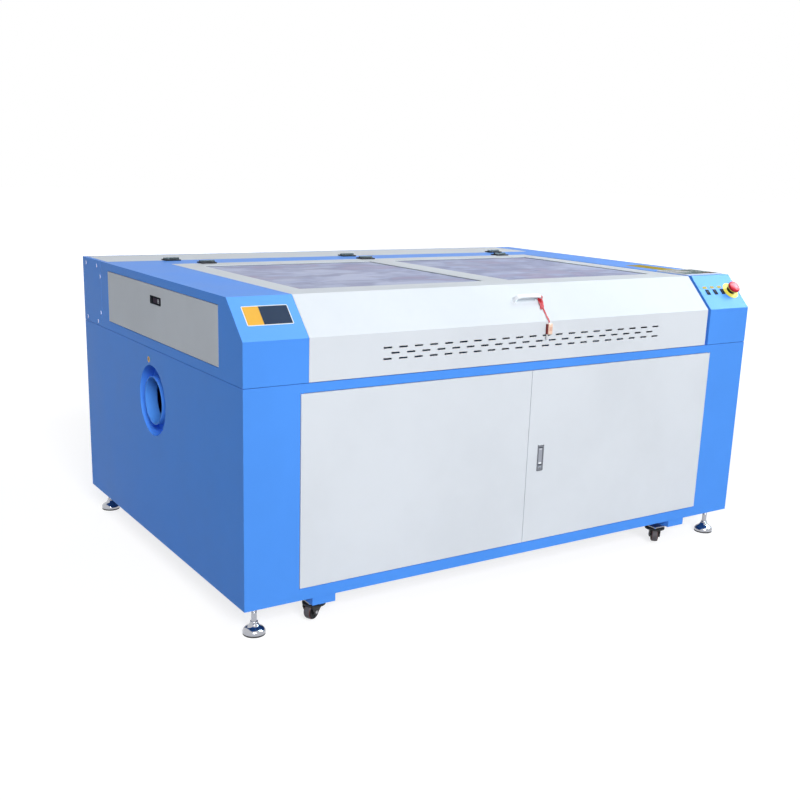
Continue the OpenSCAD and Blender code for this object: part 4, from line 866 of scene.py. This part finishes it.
class ENGRAVER_OT_plain_labels(bpy.types.Operator):
    """Makes the left slope's plain label, the right top's bare sticker and the dot over the exhaust"""

    bl_idname = "engraver.plain_labels"
    bl_label = "Plain labels"

    def execute(self, context):
        sizes = context.scene.engraver_sizes
        wide, deep = np.array(sizes.label_size) / MM
        corner = slope_point(-920, 48)
        card = tile(wide, deep, 4, 0.45, 0.2) + (wide / 2, deep / 2, 0)
        label = Surface().solid(placed(card, corner, (1, 0, 0), SLOPE_OUT))
        label.face_map(corner, (wide, 0, 0), deep * SLOPE_UP)
        label.piece("slope_label", "machine", "yellow_plastic",
                    label_print("label_card", 48 * MM, 2.4 * MM, *sizes.label_size))
        wide, deep = np.array(sizes.sticker_size) / MM
        x, y = 859.5, -290
        sticker = Surface().solid(placed(tile(wide, deep, 3, 0.3, 0.1), (x, y, Z_TOP)))
        sticker.face_map((x - wide / 2, y - deep / 2, 0), (wide, 0, 0), (0, deep, 0))
        sticker.piece("top_sticker", "machine", "yellow_plastic",
                      moulded("sticker_yellow", srgb(196, 176, 80), 0.5, 400.0, 0.1, shine=0.0))
        dot = Surface()
        for kind, profile in enumerate(([(0, 0), (9.2, 0), (9.2, 0.5), (8.8, 0.7), (4.6, 0.75)],
                                        [(4.6, 0.75), (4.4, 0.35), (0, 0.3)])):
            dot.grid(placed(revolve(profile), (X_LEFT, 22, 663), (0, 1, 0), (-1, 0, 0)), True, False, kind)
        dot.piece("side_dot", "machine", "yellow_plastic", [
            moulded("dot_yellow", srgb(240, 186, 40), 0.4), moulded("dot_core", (0.06, 0.045, 0.03), 0.35)])
        return {"FINISHED"}


class ENGRAVER_OT_keypad(bpy.types.Operator):
    """Finishes the keypad: its rim, the display glass and the plain keys"""

    bl_idname = "engraver.keypad"
    bl_label = "Keypad"

    def execute(self, context):
        low, high, middle = node_box("keypad")
        wide, deep = (high - low)[:2]
        middle[2] = high[2]
        paint(moulded("keypad_housing", srgb(226, 230, 236), 0.4, 800.0, 0.12), "keypad")
        pad = Surface().grid(placed(rim((wide, deep, 5), (wide - 11, deep - 11, 3), 1.6, 0.7), middle), True)
        pad.solid(placed(tile(wide - 11.2, deep - 11.2, 3, 0.35, 0.12), middle), 1)
        pad.solid(placed(tile(84, 66, 2.5, 0.9, 0.4), middle + (-32, 20, 0.2)), 2)
        key = tile(13, 11, 3, 1.1, 0.6, 4)
        pale, brown, pitch = 3, 4, 18
        keys = [(26 + column * pitch, -46 + row * 18.4, pale if row else brown)
                for column in range(3) for row in range(6)]
        for x, y, kind in keys + [(-68 + column * pitch, -36, pale) for column in range(5)]:
            pad.solid(placed(key, middle + (x, y, 0.3)), kind)
        pad.piece("keypad_face", "machine", "grey_plastic", [
            moulded("keypad_rim", srgb(232, 236, 242), 0.32, 700.0, 0.12, 0.3),
            moulded("keypad_overlay", srgb(84, 114, 112), 0.5, 900.0, 0.15, shine=0.0),
            moulded("display_glass", srgb(40, 62, 58), 0.15, 200.0, 0.02, 0.2, 0.2),
            moulded("key_pale", srgb(136, 142, 140), 0.45, 900.0, 0.15, shine=0.02),
            moulded("key_brown", srgb(120, 70, 44), 0.45, 900.0, 0.15, shine=0.02)])
        return {"FINISHED"}


class ENGRAVER_OT_switches(bpy.types.Operator):
    """Finishes the three rocker switches and makes the bare tags over them"""

    bl_idname = "engraver.switches"
    bl_label = "Rocker switches"

    def execute(self, context):
        places = (798, 834, 870)
        black = moulded("switch_black", (0.012, 0.013, 0.03), 0.4, shine=0.02)
        paint(black, "switch_frames", "rocker_1", "rocker_2", "rocker_3")
        tags = Surface()
        for x in places:
            tags.solid(on_slope(tile(19, 10.5, 1.5, 0.5, 0.2), x - 3, 91))
        tags.piece("switch_tags", "machine", "yellow_plastic",
                   moulded("switch_tag_card", srgb(192, 182, 96), 0.5, 500.0, 0.15, shine=0.01))
        bar = swept(np.array([(-3.1, 0, 0), (0, 0, 0), (3.1, 0, 0)]), 0.45, 0.3, 2.4, 8)
        for number, x in enumerate(places, 1):
            ridge = Surface()
            for step in (-5.6, -4.4, -3.2):
                ridge.solid(on_slope(bar + (0, step, 3.9 - 0.21 * (step + 4.4)), x, 71))
            ridge.piece(f"rocker_{number}_grip", f"switch_{number}", "black_plastic", black)
        return {"FINISHED"}


class ENGRAVER_OT_stop_button(bpy.types.Operator):
    """Makes the emergency stop's fluted head, its collar ring and the finish of its disc"""

    bl_idname = "engraver.stop_button"
    bl_label = "Emergency stop"

    def execute(self, context):
        flutes, colours = context.scene.engraver_sizes.grip_flutes, context.scene.engraver_colours
        x, up, head_up = 911, 73, 11
        yellow = moulded("stop_yellow", colours.stop_yellow, 0.4, 700.0, 0.12, 0.2)
        dark = moulded("stop_neck", (0.025, 0.025, 0.028), 0.4)
        paint(stop_disc("stop_disc", colours.stop_yellow, (0.02, 0.02, 0.022), 1.7 * MM), "estop_base")
        paint(moulded("stop_stem", (0.03, 0.03, 0.032), 0.35), "estop_plunger")
        steps = flutes * 4
        profile = [(18.3, 3.3), (18.8, 4.6), (20.4, 6.2), (21.6, 7.9), (21.95, 9.8), (21.7, 11.6),
                   (20.6, 13.3), (18.2, 15.0), (14.8, 16.3), (10.4, 17.3), (6, 17.85), (2.5, 18), (0, 18)]
        head = revolve(profile, steps)
        skirt = np.exp(-((np.arange(len(profile)) - 4.0) / 1.3) ** 2)[:, None]
        head[..., :2] *= (1 - 0.02 * skirt * (0.5 - 0.5 * np.cos(flutes * turn(steps))))[..., None]
        ring = revolve([(12.8, 0.3), (16.6, 0.25), (17.8, 0.8), (18.3, 1.8), (18.3, 3.3)], steps)
        stem = revolve([(0, 0.4), (4.3, 0.4), (12.8, 0.3)], steps)
        button = Surface()
        for kind, part in enumerate((head, ring, stem)):
            button.grid(on_slope(part, x, up, head_up), True, False, kind)
        button.piece("stop_head", "estop_cap", "red_plastic", [
            moulded("stop_red", colours.stop_red, 0.42, 900.0, 0.1, 0.0, 0.12), yellow, dark],
            50.0, replaces="estop_head")
        neck = revolve([(14.05, 1.55), (14.9, 1.6), (15.2, 2.2), (15.2, 5.2), (14.7, 5.9), (14.05, 6.0),
                        (14.05, 1.55)], 64)
        Surface().grid(on_slope(neck, x, up), True).piece("stop_collar", "machine", "black_plastic", dark)
        return {"FINISHED"}


class ENGRAVER_OT_side_latch(bpy.types.Operator):
    """Makes the bezel of the side panel's latch and finishes its field and slider"""

    bl_idname = "engraver.side_latch"
    bl_label = "Side panel latch"

    def execute(self, context):
        centre = np.array([X_LEFT, -51, 852])
        thumb = np.array([node_box("side_latch")[0][0] + 0.05, -74, 852])
        paint(moulded("latch_field", srgb(86, 76, 90), 0.45, 700.0, 0.15, shine=0.0), "side_latch")
        black = moulded("latch_bezel", (0.03, 0.036, 0.046), 0.5, shine=0.0)
        bezel = Surface().grid(placed(rim((86, 24, 2.5), (78, 16, 1), 1.3, 0.6), centre, *ON_LEFT), True)
        bezel.piece("side_latch_bezel", "left_panel", "black_plastic", black)
        pocket = Surface().solid(placed(tile(82, 20, 1, 0.6, 0.2), centre + (6.4, 0, 0), *ON_LEFT))
        lining = rim((78.2, 16.2, 1), (77.6, 15.6, 0.8), 6, 0.1)
        pocket.grid(placed(lining, centre + (6, 0, 0), *ON_LEFT), True)
        pocket.piece("side_latch_pocket", "left_panel", "black_plastic", black)
        slider = Surface().solid(placed(tile(9, 14, 1.5, 1.0, 0.4), thumb, *ON_LEFT))
        rib = swept(np.array([(0, -4.5, 0), (0, 0, 0), (0, 4.5, 0)]), 0.5, 0.35, 2.4, 8)
        for step in (-4.5, -1.5, 1.5, 4.5):
            slider.solid(placed(rib + (step, 0, 1.0), thumb, *ON_LEFT))
        slider.piece("side_latch_thumb", "panel_latch", "grey_plastic",
                     moulded("latch_thumb", srgb(160, 164, 172), 0.4, 700.0, 0.12, shine=0.05))
        return {"FINISHED"}


class ENGRAVER_OT_door_latch(bpy.types.Operator):
    """Finishes the flush latch on the right door, makes its lock barrel, and adds white strips as painted
    highlights on the rim's lip and the paddle's top
    """

    bl_idname = "engraver.door_latch"
    bl_label = "Door latch"

    def execute(self, context):
        paint(moulded("latch_plate_grey", srgb(132, 136, 146), 0.35, 700.0, 0.15), "latch_plate")
        paint(moulded("paddle_grey", srgb(164, 168, 180), 0.3, 700.0, 0.15), "latch_paddle")
        # One white for three marks: the rim's top strip and the paddle's top bar are painted highlights of
        # lit edges; the bar at the paddle's foot is a pale bar
        pale_bar_and_highlight = moulded("latch_pale_bar_and_highlight", srgb(236, 240, 246), 0.3)
        low, high, middle = node_box("latch_plate")
        x, y = middle[0], low[1]
        edge = rim((24, 84, 3), (17.6, 77.6, 1.5), 0.6, 0.3)
        frame_rim = Surface().grid(placed(edge, (x, y, middle[2]), *ON_FRONT), True)
        # Thin white strip along the rim's top: a painted highlight where the lip catches the light
        frame_rim.solid(placed(tile(22, 1.6, 0.7, 0.5, 0.2, 3), (x, y - 0.5, high[2] - 0.9), *ON_FRONT), 1)
        frame_rim.piece("door_latch_rim", "right_door", "grey_plastic",
                        [moulded("latch_rim", srgb(112, 116, 126), 0.32), pale_bar_and_highlight])
        grip_low, grip_high, grip = node_box("latch_paddle")
        # Upper bar: a painted glint at the paddle's top; lower bar: a pale bar at the paddle's foot
        for name, z, wide, tall in (("latch_pull", grip_low[2] + 3.4, 11, 5),
                                    ("latch_painted_glint", grip_high[2] - 2.6, 9, 2.4)):
            bar = placed(tile(wide, tall, 0.8, 0.6, 0.25, 3), (grip[0], grip_low[1], z), *ON_FRONT)
            Surface().solid(bar).piece(name, "door_latch", "grey_plastic", pale_bar_and_highlight)
        barrel = revolve([(0, 0), (4.6, 0), (4.6, 0.5), (4.2, 0.8), (1.4, 0.85), (1.2, 0.3), (0, 0.3)], 32)
        lock = Surface().grid(placed(barrel, (x, y, low[2] + 8.6), *ON_FRONT), True)
        lock.solid(placed(tile(0.9, 5, 0.4, 0.3, 0.1, 3), (x, y - 0.72, low[2] + 8.6), *ON_FRONT), 1)
        lock.piece("door_lock", "right_door", "bright_chrome", [
            plain_metal("lock_barrel", (0.3, 0.31, 0.34), 0.3),
            moulded("lock_slot", (0.01, 0.01, 0.012), 0.6)])
        return {"FINISHED"}


# ---------------------------------------------------------------- feet and casters


class ENGRAVER_OT_feet(bpy.types.Operator):
    """Makes the levelling feet with their rubber pads, chromed domes and threaded stems"""

    bl_idname = "engraver.feet"
    bl_label = "Levelling feet"

    def execute(self, context):
        pitch = context.scene.engraver_sizes.thread_pitch / MM
        finish = foot_metal("foot_chrome", (0.47, 0.48, 0.52), (0.022, 0.022, 0.024), 5 * MM)
        for number in range(1, 5):
            _, high, (x, y, _) = node_box(f"foot_{number}")
            base, stem = self.threaded_foot(pitch, high[2])
            foot = Surface().grid(base + (x, y, 0), True).solid(stem + (x, y, 0))
            foot.piece(f"levelling_foot_{number}_turned", f"levelling_foot_{number}", "bright_chrome",
                       finish, 42.0, f"foot_{number}")
        return {"FINISHED"}

    def threaded_foot(self, pitch, top):
        """Base and stem (r cos t, r sin t, z); stem r = 7.35 + 0.6 |2 frac(z / pitch - t / 2 pi) - 1|"""
        base_top, steps = 64, 48
        base = revolve([
            (0, 0), (30.6, 0), (31.4, 0.6), (31.6, 4.6), (31.9, 5.4), (32, 8.6), (31.4, 12.4), (29.6, 16.0),
            (26.4, 19.2), (22, 21.8), (17.4, 24.4), (14.4, 27.6), (12.6, 31.4), (10.9, 33.2), (10.9, 37.6),
            (10.2, 38.4), (8.2, 38.6), (8.0, 39.4), (7.9, base_top), (0, base_top)], steps)
        z, t = np.arange(base_top, top, pitch / 5), turn(steps)
        phase = z[:, None] / pitch - t / (2 * np.pi)
        return base, round_rows(7.35 + 0.6 * np.abs(2 * (phase % 1.0) - 1), t, z)


class ENGRAVER_OT_casters(bpy.types.Operator):
    """Makes the caster wheels' treads and cores, their zinc plates, bolts and axle nuts"""

    bl_idname = "engraver.casters"
    bl_label = "Casters"

    def execute(self, context):
        coat = moulded("fork_coat", (0.018, 0.018, 0.02), 0.4, 500.0, 0.25)
        zinc = plain_metal("plate_zinc", (0.42, 0.42, 0.44), 0.36)
        tyre = [moulded("tyre_grey", srgb(98, 94, 98), 0.6, 260.0, 0.3, shine=0.2),
                moulded("core_brown", srgb(74, 30, 32), 0.42, 500.0),
                moulded("tyre_black", (0.012, 0.012, 0.014), 0.5, 500.0, shine=0.2)]
        bolt = revolve([(5.2, 0), (5.2, 1.4), (4.8, 2.0), (0, 2.1)], 6)
        places = ((-712, -612, -65), (648, -612, -42), (-712, 612, -30), (648, 612, -80))
        for number, (x, y, angle) in enumerate(places, 1):
            swing = math.radians(angle)
            ahead = np.array([-math.sin(swing), math.cos(swing), 0.0])
            axle = np.array([math.cos(swing), math.sin(swing), 0.0])
            paint(coat, f"caster_fork_{number}")
            hub = node_box(f"caster_wheel_{number}")[2]
            wheel = self.wheel(hub, ahead, axle)
            wheel.piece(f"caster_tyre_{number}", f"wheel_{number}", "caster_tyre", tyre, 32.0,
                        f"caster_wheel_{number}")
            nuts, guard = self.fork(x, y, hub, ahead, axle, bolt)
            nuts.piece(f"caster_nuts_{number}", f"fork_{number}", "plated_steel", zinc)
            guard.piece(f"caster_cheeks_{number}", f"fork_{number}", "dark_steel", coat)
        plates = Surface()
        slab, plate_z, reach = tile(60.4, 60.4, 4, 1.7, 0.4), 64.3, 23
        for x, y, angle in places:
            middle = np.array([x, y, plate_z])
            plates.solid(slab * (1, 1, -1) + middle).solid(slab + middle)
            for i, j in ((-1, -1), (1, -1), (1, 1), (-1, 1)):
                corner = middle + (i * reach, j * reach, -1.6)
                plates.solid(placed(bolt, corner, (1, 0, 0), (0, 0, -1)))
        plates.piece("caster_plates", "machine", "plated_steel", zinc)
        return {"FINISHED"}

    def wheel(self, hub, ahead, axle):
        """Tread, sunk disc with its hub, and a coloured line and a side wall on each side of it"""
        tread = [(23.3, -8.6), (23.9, -5.5), (24, 0), (23.9, 5.5), (23.3, 8.6)]
        line = [(23.3, 8.6), (22.6, 9.8), (21.9, 10.6)]
        wall = [(21.9, 10.6), (21.2, 11.3), (19.2, 11.9), (17.6, 11.2)]
        half = [(17.6, 11.2), (17.2, 9.4), (16.4, 8.9), (10.4, 8.7), (9.6, 9.2), (9.0, 11.6), (8.4, 11.9),
                (4.3, 11.9), (4.1, 11.5)]
        disc = half + [(r, -z) for r, z in half[::-1]]
        wheel = Surface()
        for profile, side, kind in ((tread, 1, 0), (disc, 1, 2), (line, -1, 1), (wall, -1, 2), (line, 1, 1),
                                    (wall, 1, 2)):
            wheel.grid(placed(revolve(profile, 56), hub, ahead, axle * side), True, False, kind)
        return wheel

    def fork(self, x, y, hub, ahead, axle, bolt):
        """Axle nuts with the swivel's race, and the two cheeks under the cup of the fork"""
        nut_out, cheek_out, race_z = 18.3, 16.55, 59.4
        cheek = np.array([(-18, 27), (-18, 14), (-9, -3), (-4, -9), (4, -9), (9, -3), (36, 21), (36, 27)])
        cup = [(0, 59), (24, 59), (31, 58.2), (34, 55.8), (34, 51.6), (33, 51.4), (32.4, 55), (29.6, 57),
               (18, 57.4)]
        race = [(17.1, 0), (17.5, 0.4), (17.5, 1.2), (17.1, 1.5), (17.1, 0)]
        nuts, guard = Surface(), Surface()
        guard.grid(revolve(cup[::-1] + cup[-1:], 48) + (x, y, 0), True)
        for side in (-1, 1):
            nuts.solid(placed(bolt, hub + axle * side * nut_out, ahead, axle * side))
            card = plate(cheek[::side] * (1, side), 1.8, 0.5)
            guard.solid(placed(card, hub + axle * side * cheek_out, ahead, axle * side))
        nuts.grid(revolve(race, 48) + (x, y, race_z), True)
        return nuts, guard


# ---------------------------------------------------------------- inside


class ENGRAVER_OT_bed(bpy.types.Operator):
    """Finishes the slatted bed and the rails beside it, and makes the rails' screws"""

    bl_idname = "engraver.bed"
    bl_label = "Bed and rails"

    def execute(self, context):
        paint(plain_metal("bed_aluminium", (0.66, 0.67, 0.69), 0.34, (0.05, 1, 1)), "work_bed")
        paint(plain_metal("rail_steel", (0.55, 0.56, 0.58), 0.3, (1, 0.05, 1)), "y_rails")
        low, high = node_box("y_rails")[:2]
        rail_x, rail_top, pitch = 705, 803, 60
        screws = Surface()
        for x in (-rail_x, rail_x):
            for y in np.arange(low[1] + pitch / 2, high[1] - pitch / 3, pitch):
                screws.grid(placed(screw_head(2.9, 0.8, 1.2), (x, y, rail_top)), True)
        screws.piece("rail_screws", "machine", "dark_steel",
                     plain_metal("rail_screw_steel", (0.2, 0.2, 0.21), 0.3))
        return {"FINISHED"}


class ENGRAVER_OT_drives(bpy.types.Operator):
    """Finishes the belts, motors, gantry, carriage and focus tube, and makes the knurl on the tube"""

    bl_idname = "engraver.drives"
    bl_label = "Gantry and drives"

    def execute(self, context):
        tube_metal = plain_metal("lens_tube_metal", (0.72, 0.70, 0.64), 0.24, (1, 1, 0.15))
        paint(toothed_belt("y_belt", 1, 3 * MM), "y_drive")
        paint(plain_metal("shaft_steel", (0.62, 0.63, 0.65), 0.2, (0.05, 1, 1)), "y_drive_shaft")
        paint(plain_metal("idler_aluminium", (0.7, 0.71, 0.73), 0.25), "y_idlers")
        paint(toothed_belt("x_belt", 0, 3 * MM), "x_drive")
        paint(plain_metal("beam_anodised", (0.60, 0.61, 0.63), 0.38, (0.05, 1, 1), 0.35), "gantry_beam")
        paint(moulded("carriage_black", (0.05, 0.05, 0.055), 0.34, 600.0, 0.2, 0.2), "carriage")
        paint(tube_metal, "lens_tube")
        _, (_, _, top), (x, y, _) = node_box("lens_tube")
        ridges, tube_radius = 36, 15.25
        t, row = turn(2 * ridges), np.arange(8)
        depth = 0.35 * np.clip(np.minimum(row, 7 - row), 0, 1)[:, None]
        ring = round_rows(tube_radius + depth * np.cos(ridges * t), t, np.linspace(top - 18, top - 11, 8))
        knurl = Surface().grid(np.concatenate([ring, ring[:1]]) + (x, y, 0), True)
        knurl.piece("lens_knurl", "focus_tube", "machined_aluminium", tube_metal)
        return {"FINISHED"}


class ENGRAVER_OT_laser(bpy.types.Operator):
    """Makes the laser tube: outer glass, inner bore, gas return coil, electrode bands and end caps"""

    bl_idname = "engraver.laser"
    bl_label = "Laser tube"

    def execute(self, context):
        low, high, (_, y, z) = node_box("laser_tube")
        radius, x0, x1 = (high[2] - low[2]) / 2, low[0] + 30, high[0] - 30
        glass = clear_glass("tube_glass", (0.86, 0.93, 0.95), 0.05)
        metal = plain_metal("tube_cap_metal", (0.68, 0.68, 0.70), 0.22)

        def along(profile, steps, x=0.0, side=1):
            return placed(revolve(profile, steps), (x, y, z), (0, 1, 0), (side, 0, 0))

        dome, neck = np.linspace(0, np.pi / 2, 9), 14
        profile = np.concatenate([
            np.stack([neck + (radius - neck) * np.sin(dome), x0 + 12 * (1 - np.cos(dome))], -1),
            np.stack([neck + (radius - neck) * np.cos(dome), x1 - 12 * (1 - np.sin(dome))], -1)])
        outer = Surface().solid(along(profile, 56))
        outer.piece("laser_glass", "machine", "clear_glass", glass, replaces="laser_tube")
        inside = Surface().solid(along([(9, x0 + 4), (9, x1 - 4)], 28))
        turns, coil_radius, pipe = np.linspace(0, 7 * 2 * np.pi, 230), 22, 3.2
        coil = np.stack([x1 - 160 + turns * 3.1, y + coil_radius * np.cos(turns),
                         z + coil_radius * np.sin(turns)], -1)
        inside.solid(swept(coil, pipe, pipe, 2.0, 10))
        inside.piece("laser_bore", "machine", "clear_glass",
                     clear_glass("bore_glass", (0.92, 0.88, 0.95), 0.08))
        cap = [(5, 0), (13.8, 0), (14.2, 0.8), (14.2, 24), (16.5, 25), (16.5, 30), (13, 31)]
        caps = Surface().solid(along(cap, 40, low[0])).solid(along(cap, 40, high[0], -1))
        band = [(15, -22), (16, -20), (16, 20), (15, 22), (15, -22)]
        for x in (x0 + 60, x1 - 60):
            caps.grid(along(band, 36, x), True)
        caps.piece("laser_caps", "machine", "plated_steel", metal)
        paint(moulded("mount_black", (0.04, 0.04, 0.045), 0.4, 500.0, 0.25), "tube_mounts")
        return {"FINISHED"}


class ENGRAVER_OT_struts(bpy.types.Operator):
    """Finishes the gas struts that hold the lid, and makes the collar at each rod's seal"""

    bl_idname = "engraver.struts"
    bl_label = "Gas struts"

    def execute(self, context):
        black = moulded("strut_black", (0.022, 0.022, 0.025), 0.22, 300.0, 0.1, 0.5)
        paint(black, "strut_cylinders")
        paint(plain_metal("strut_chrome", (0.74, 0.75, 0.77), 0.12, (1, 0.1, 0.1), 0.1), "strut_rods")
        foot, head = np.array([0, 240, 785]), np.array([0, -110, 890])
        along = (head - foot) / np.linalg.norm(head - foot)
        seal_at = 215.6
        collar = revolve([(4.3, 0), (8.9, 0.3), (9.1, 1.2), (9.1, 5), (8.55, 5.6), (4.3, 0)], 32)
        seals = Surface()
        for x in (-736, 736):
            seals.grid(placed(collar, foot + (x, 0, 0) + along * seal_at, (1, 0, 0), -along), True)
        seals.piece("strut_seals", "strut_bodies", "black_plastic", black)
        return {"FINISHED"}


class ENGRAVER_OT_back_fittings(bpy.types.Operator):
    """Finishes the supply boxes, and makes the inlet's face with its pins at the back"""

    bl_idname = "engraver.back_fittings"
    bl_label = "Supply and inlet"

    def execute(self, context):
        paint(plain_metal("supply_zinc", (0.5, 0.51, 0.53), 0.36, (1, 0.1, 1), 0.2, 0.8), "electronics")
        middle = np.array([800, Y_BACK - 0.45, 200])
        face = Surface().grid(placed(rim((47, 27, 3), (30, 20, 4), 0.4, 0.2), middle, *ON_BACK), True)
        face.solid(placed(tile(30, 20, 4, 0.1, 0.02), middle, *ON_BACK))
        for x, z in ((-7, -2), (7, -2), (0, 3.4)):
            face.solid(placed(tile(2, 4.4, 0.4, 0.35, 0.15, 3), middle + (x, 0.08, z), *ON_BACK), 1)
        face.piece("inlet_face", "machine", "black_plastic", [
            moulded("inlet_black", (0.03, 0.03, 0.033), 0.38, 700.0),
            plain_metal("inlet_pins", (0.7, 0.68, 0.6), 0.25)])
        return {"FINISHED"}


# ---------------------------------------------------------------- panel and run


class VIEW3D_PT_engraver(bpy.types.Panel):
    """Lists the machine's finishes and fittings in the order in which they are made"""

    bl_label = "Engraver"
    bl_space_type = "VIEW_3D"
    bl_region_type = "UI"
    bl_category = "Engraver"

    def draw(self, context):
        for operator in OPERATORS:
            self.layout.operator(operator.bl_idname)
        for group in (context.scene.engraver_sizes, context.scene.engraver_colours):
            box = self.layout.box()
            for name in group.__annotations__:
                box.prop(group, name)


OPERATORS = (
    ENGRAVER_OT_stage, ENGRAVER_OT_key_tape, ENGRAVER_OT_sheet_finishes, ENGRAVER_OT_cover_screws,
    ENGRAVER_OT_windows, ENGRAVER_OT_lid_handle, ENGRAVER_OT_hinges, ENGRAVER_OT_plain_labels,
    ENGRAVER_OT_keypad, ENGRAVER_OT_switches, ENGRAVER_OT_stop_button, ENGRAVER_OT_side_latch,
    ENGRAVER_OT_door_latch, ENGRAVER_OT_feet, ENGRAVER_OT_casters, ENGRAVER_OT_bed, ENGRAVER_OT_drives,
    ENGRAVER_OT_laser, ENGRAVER_OT_struts, ENGRAVER_OT_back_fittings)
CLASSES = (EngraverSizes, EngraverColours, *OPERATORS, VIEW3D_PT_engraver)


def register():
    for one in CLASSES:
        bpy.utils.register_class(one)
    bpy.types.Scene.engraver_sizes = PointerProperty(type=EngraverSizes)
    bpy.types.Scene.engraver_colours = PointerProperty(type=EngraverColours)


def unregister():
    del bpy.types.Scene.engraver_colours
    del bpy.types.Scene.engraver_sizes
    for one in reversed(CLASSES):
        bpy.utils.unregister_class(one)


def main():
    register()
    for operator in OPERATORS:
        family, name = operator.bl_idname.split(".")
        getattr(getattr(bpy.ops, family), name)()


if __name__ == "__main__":
    main()
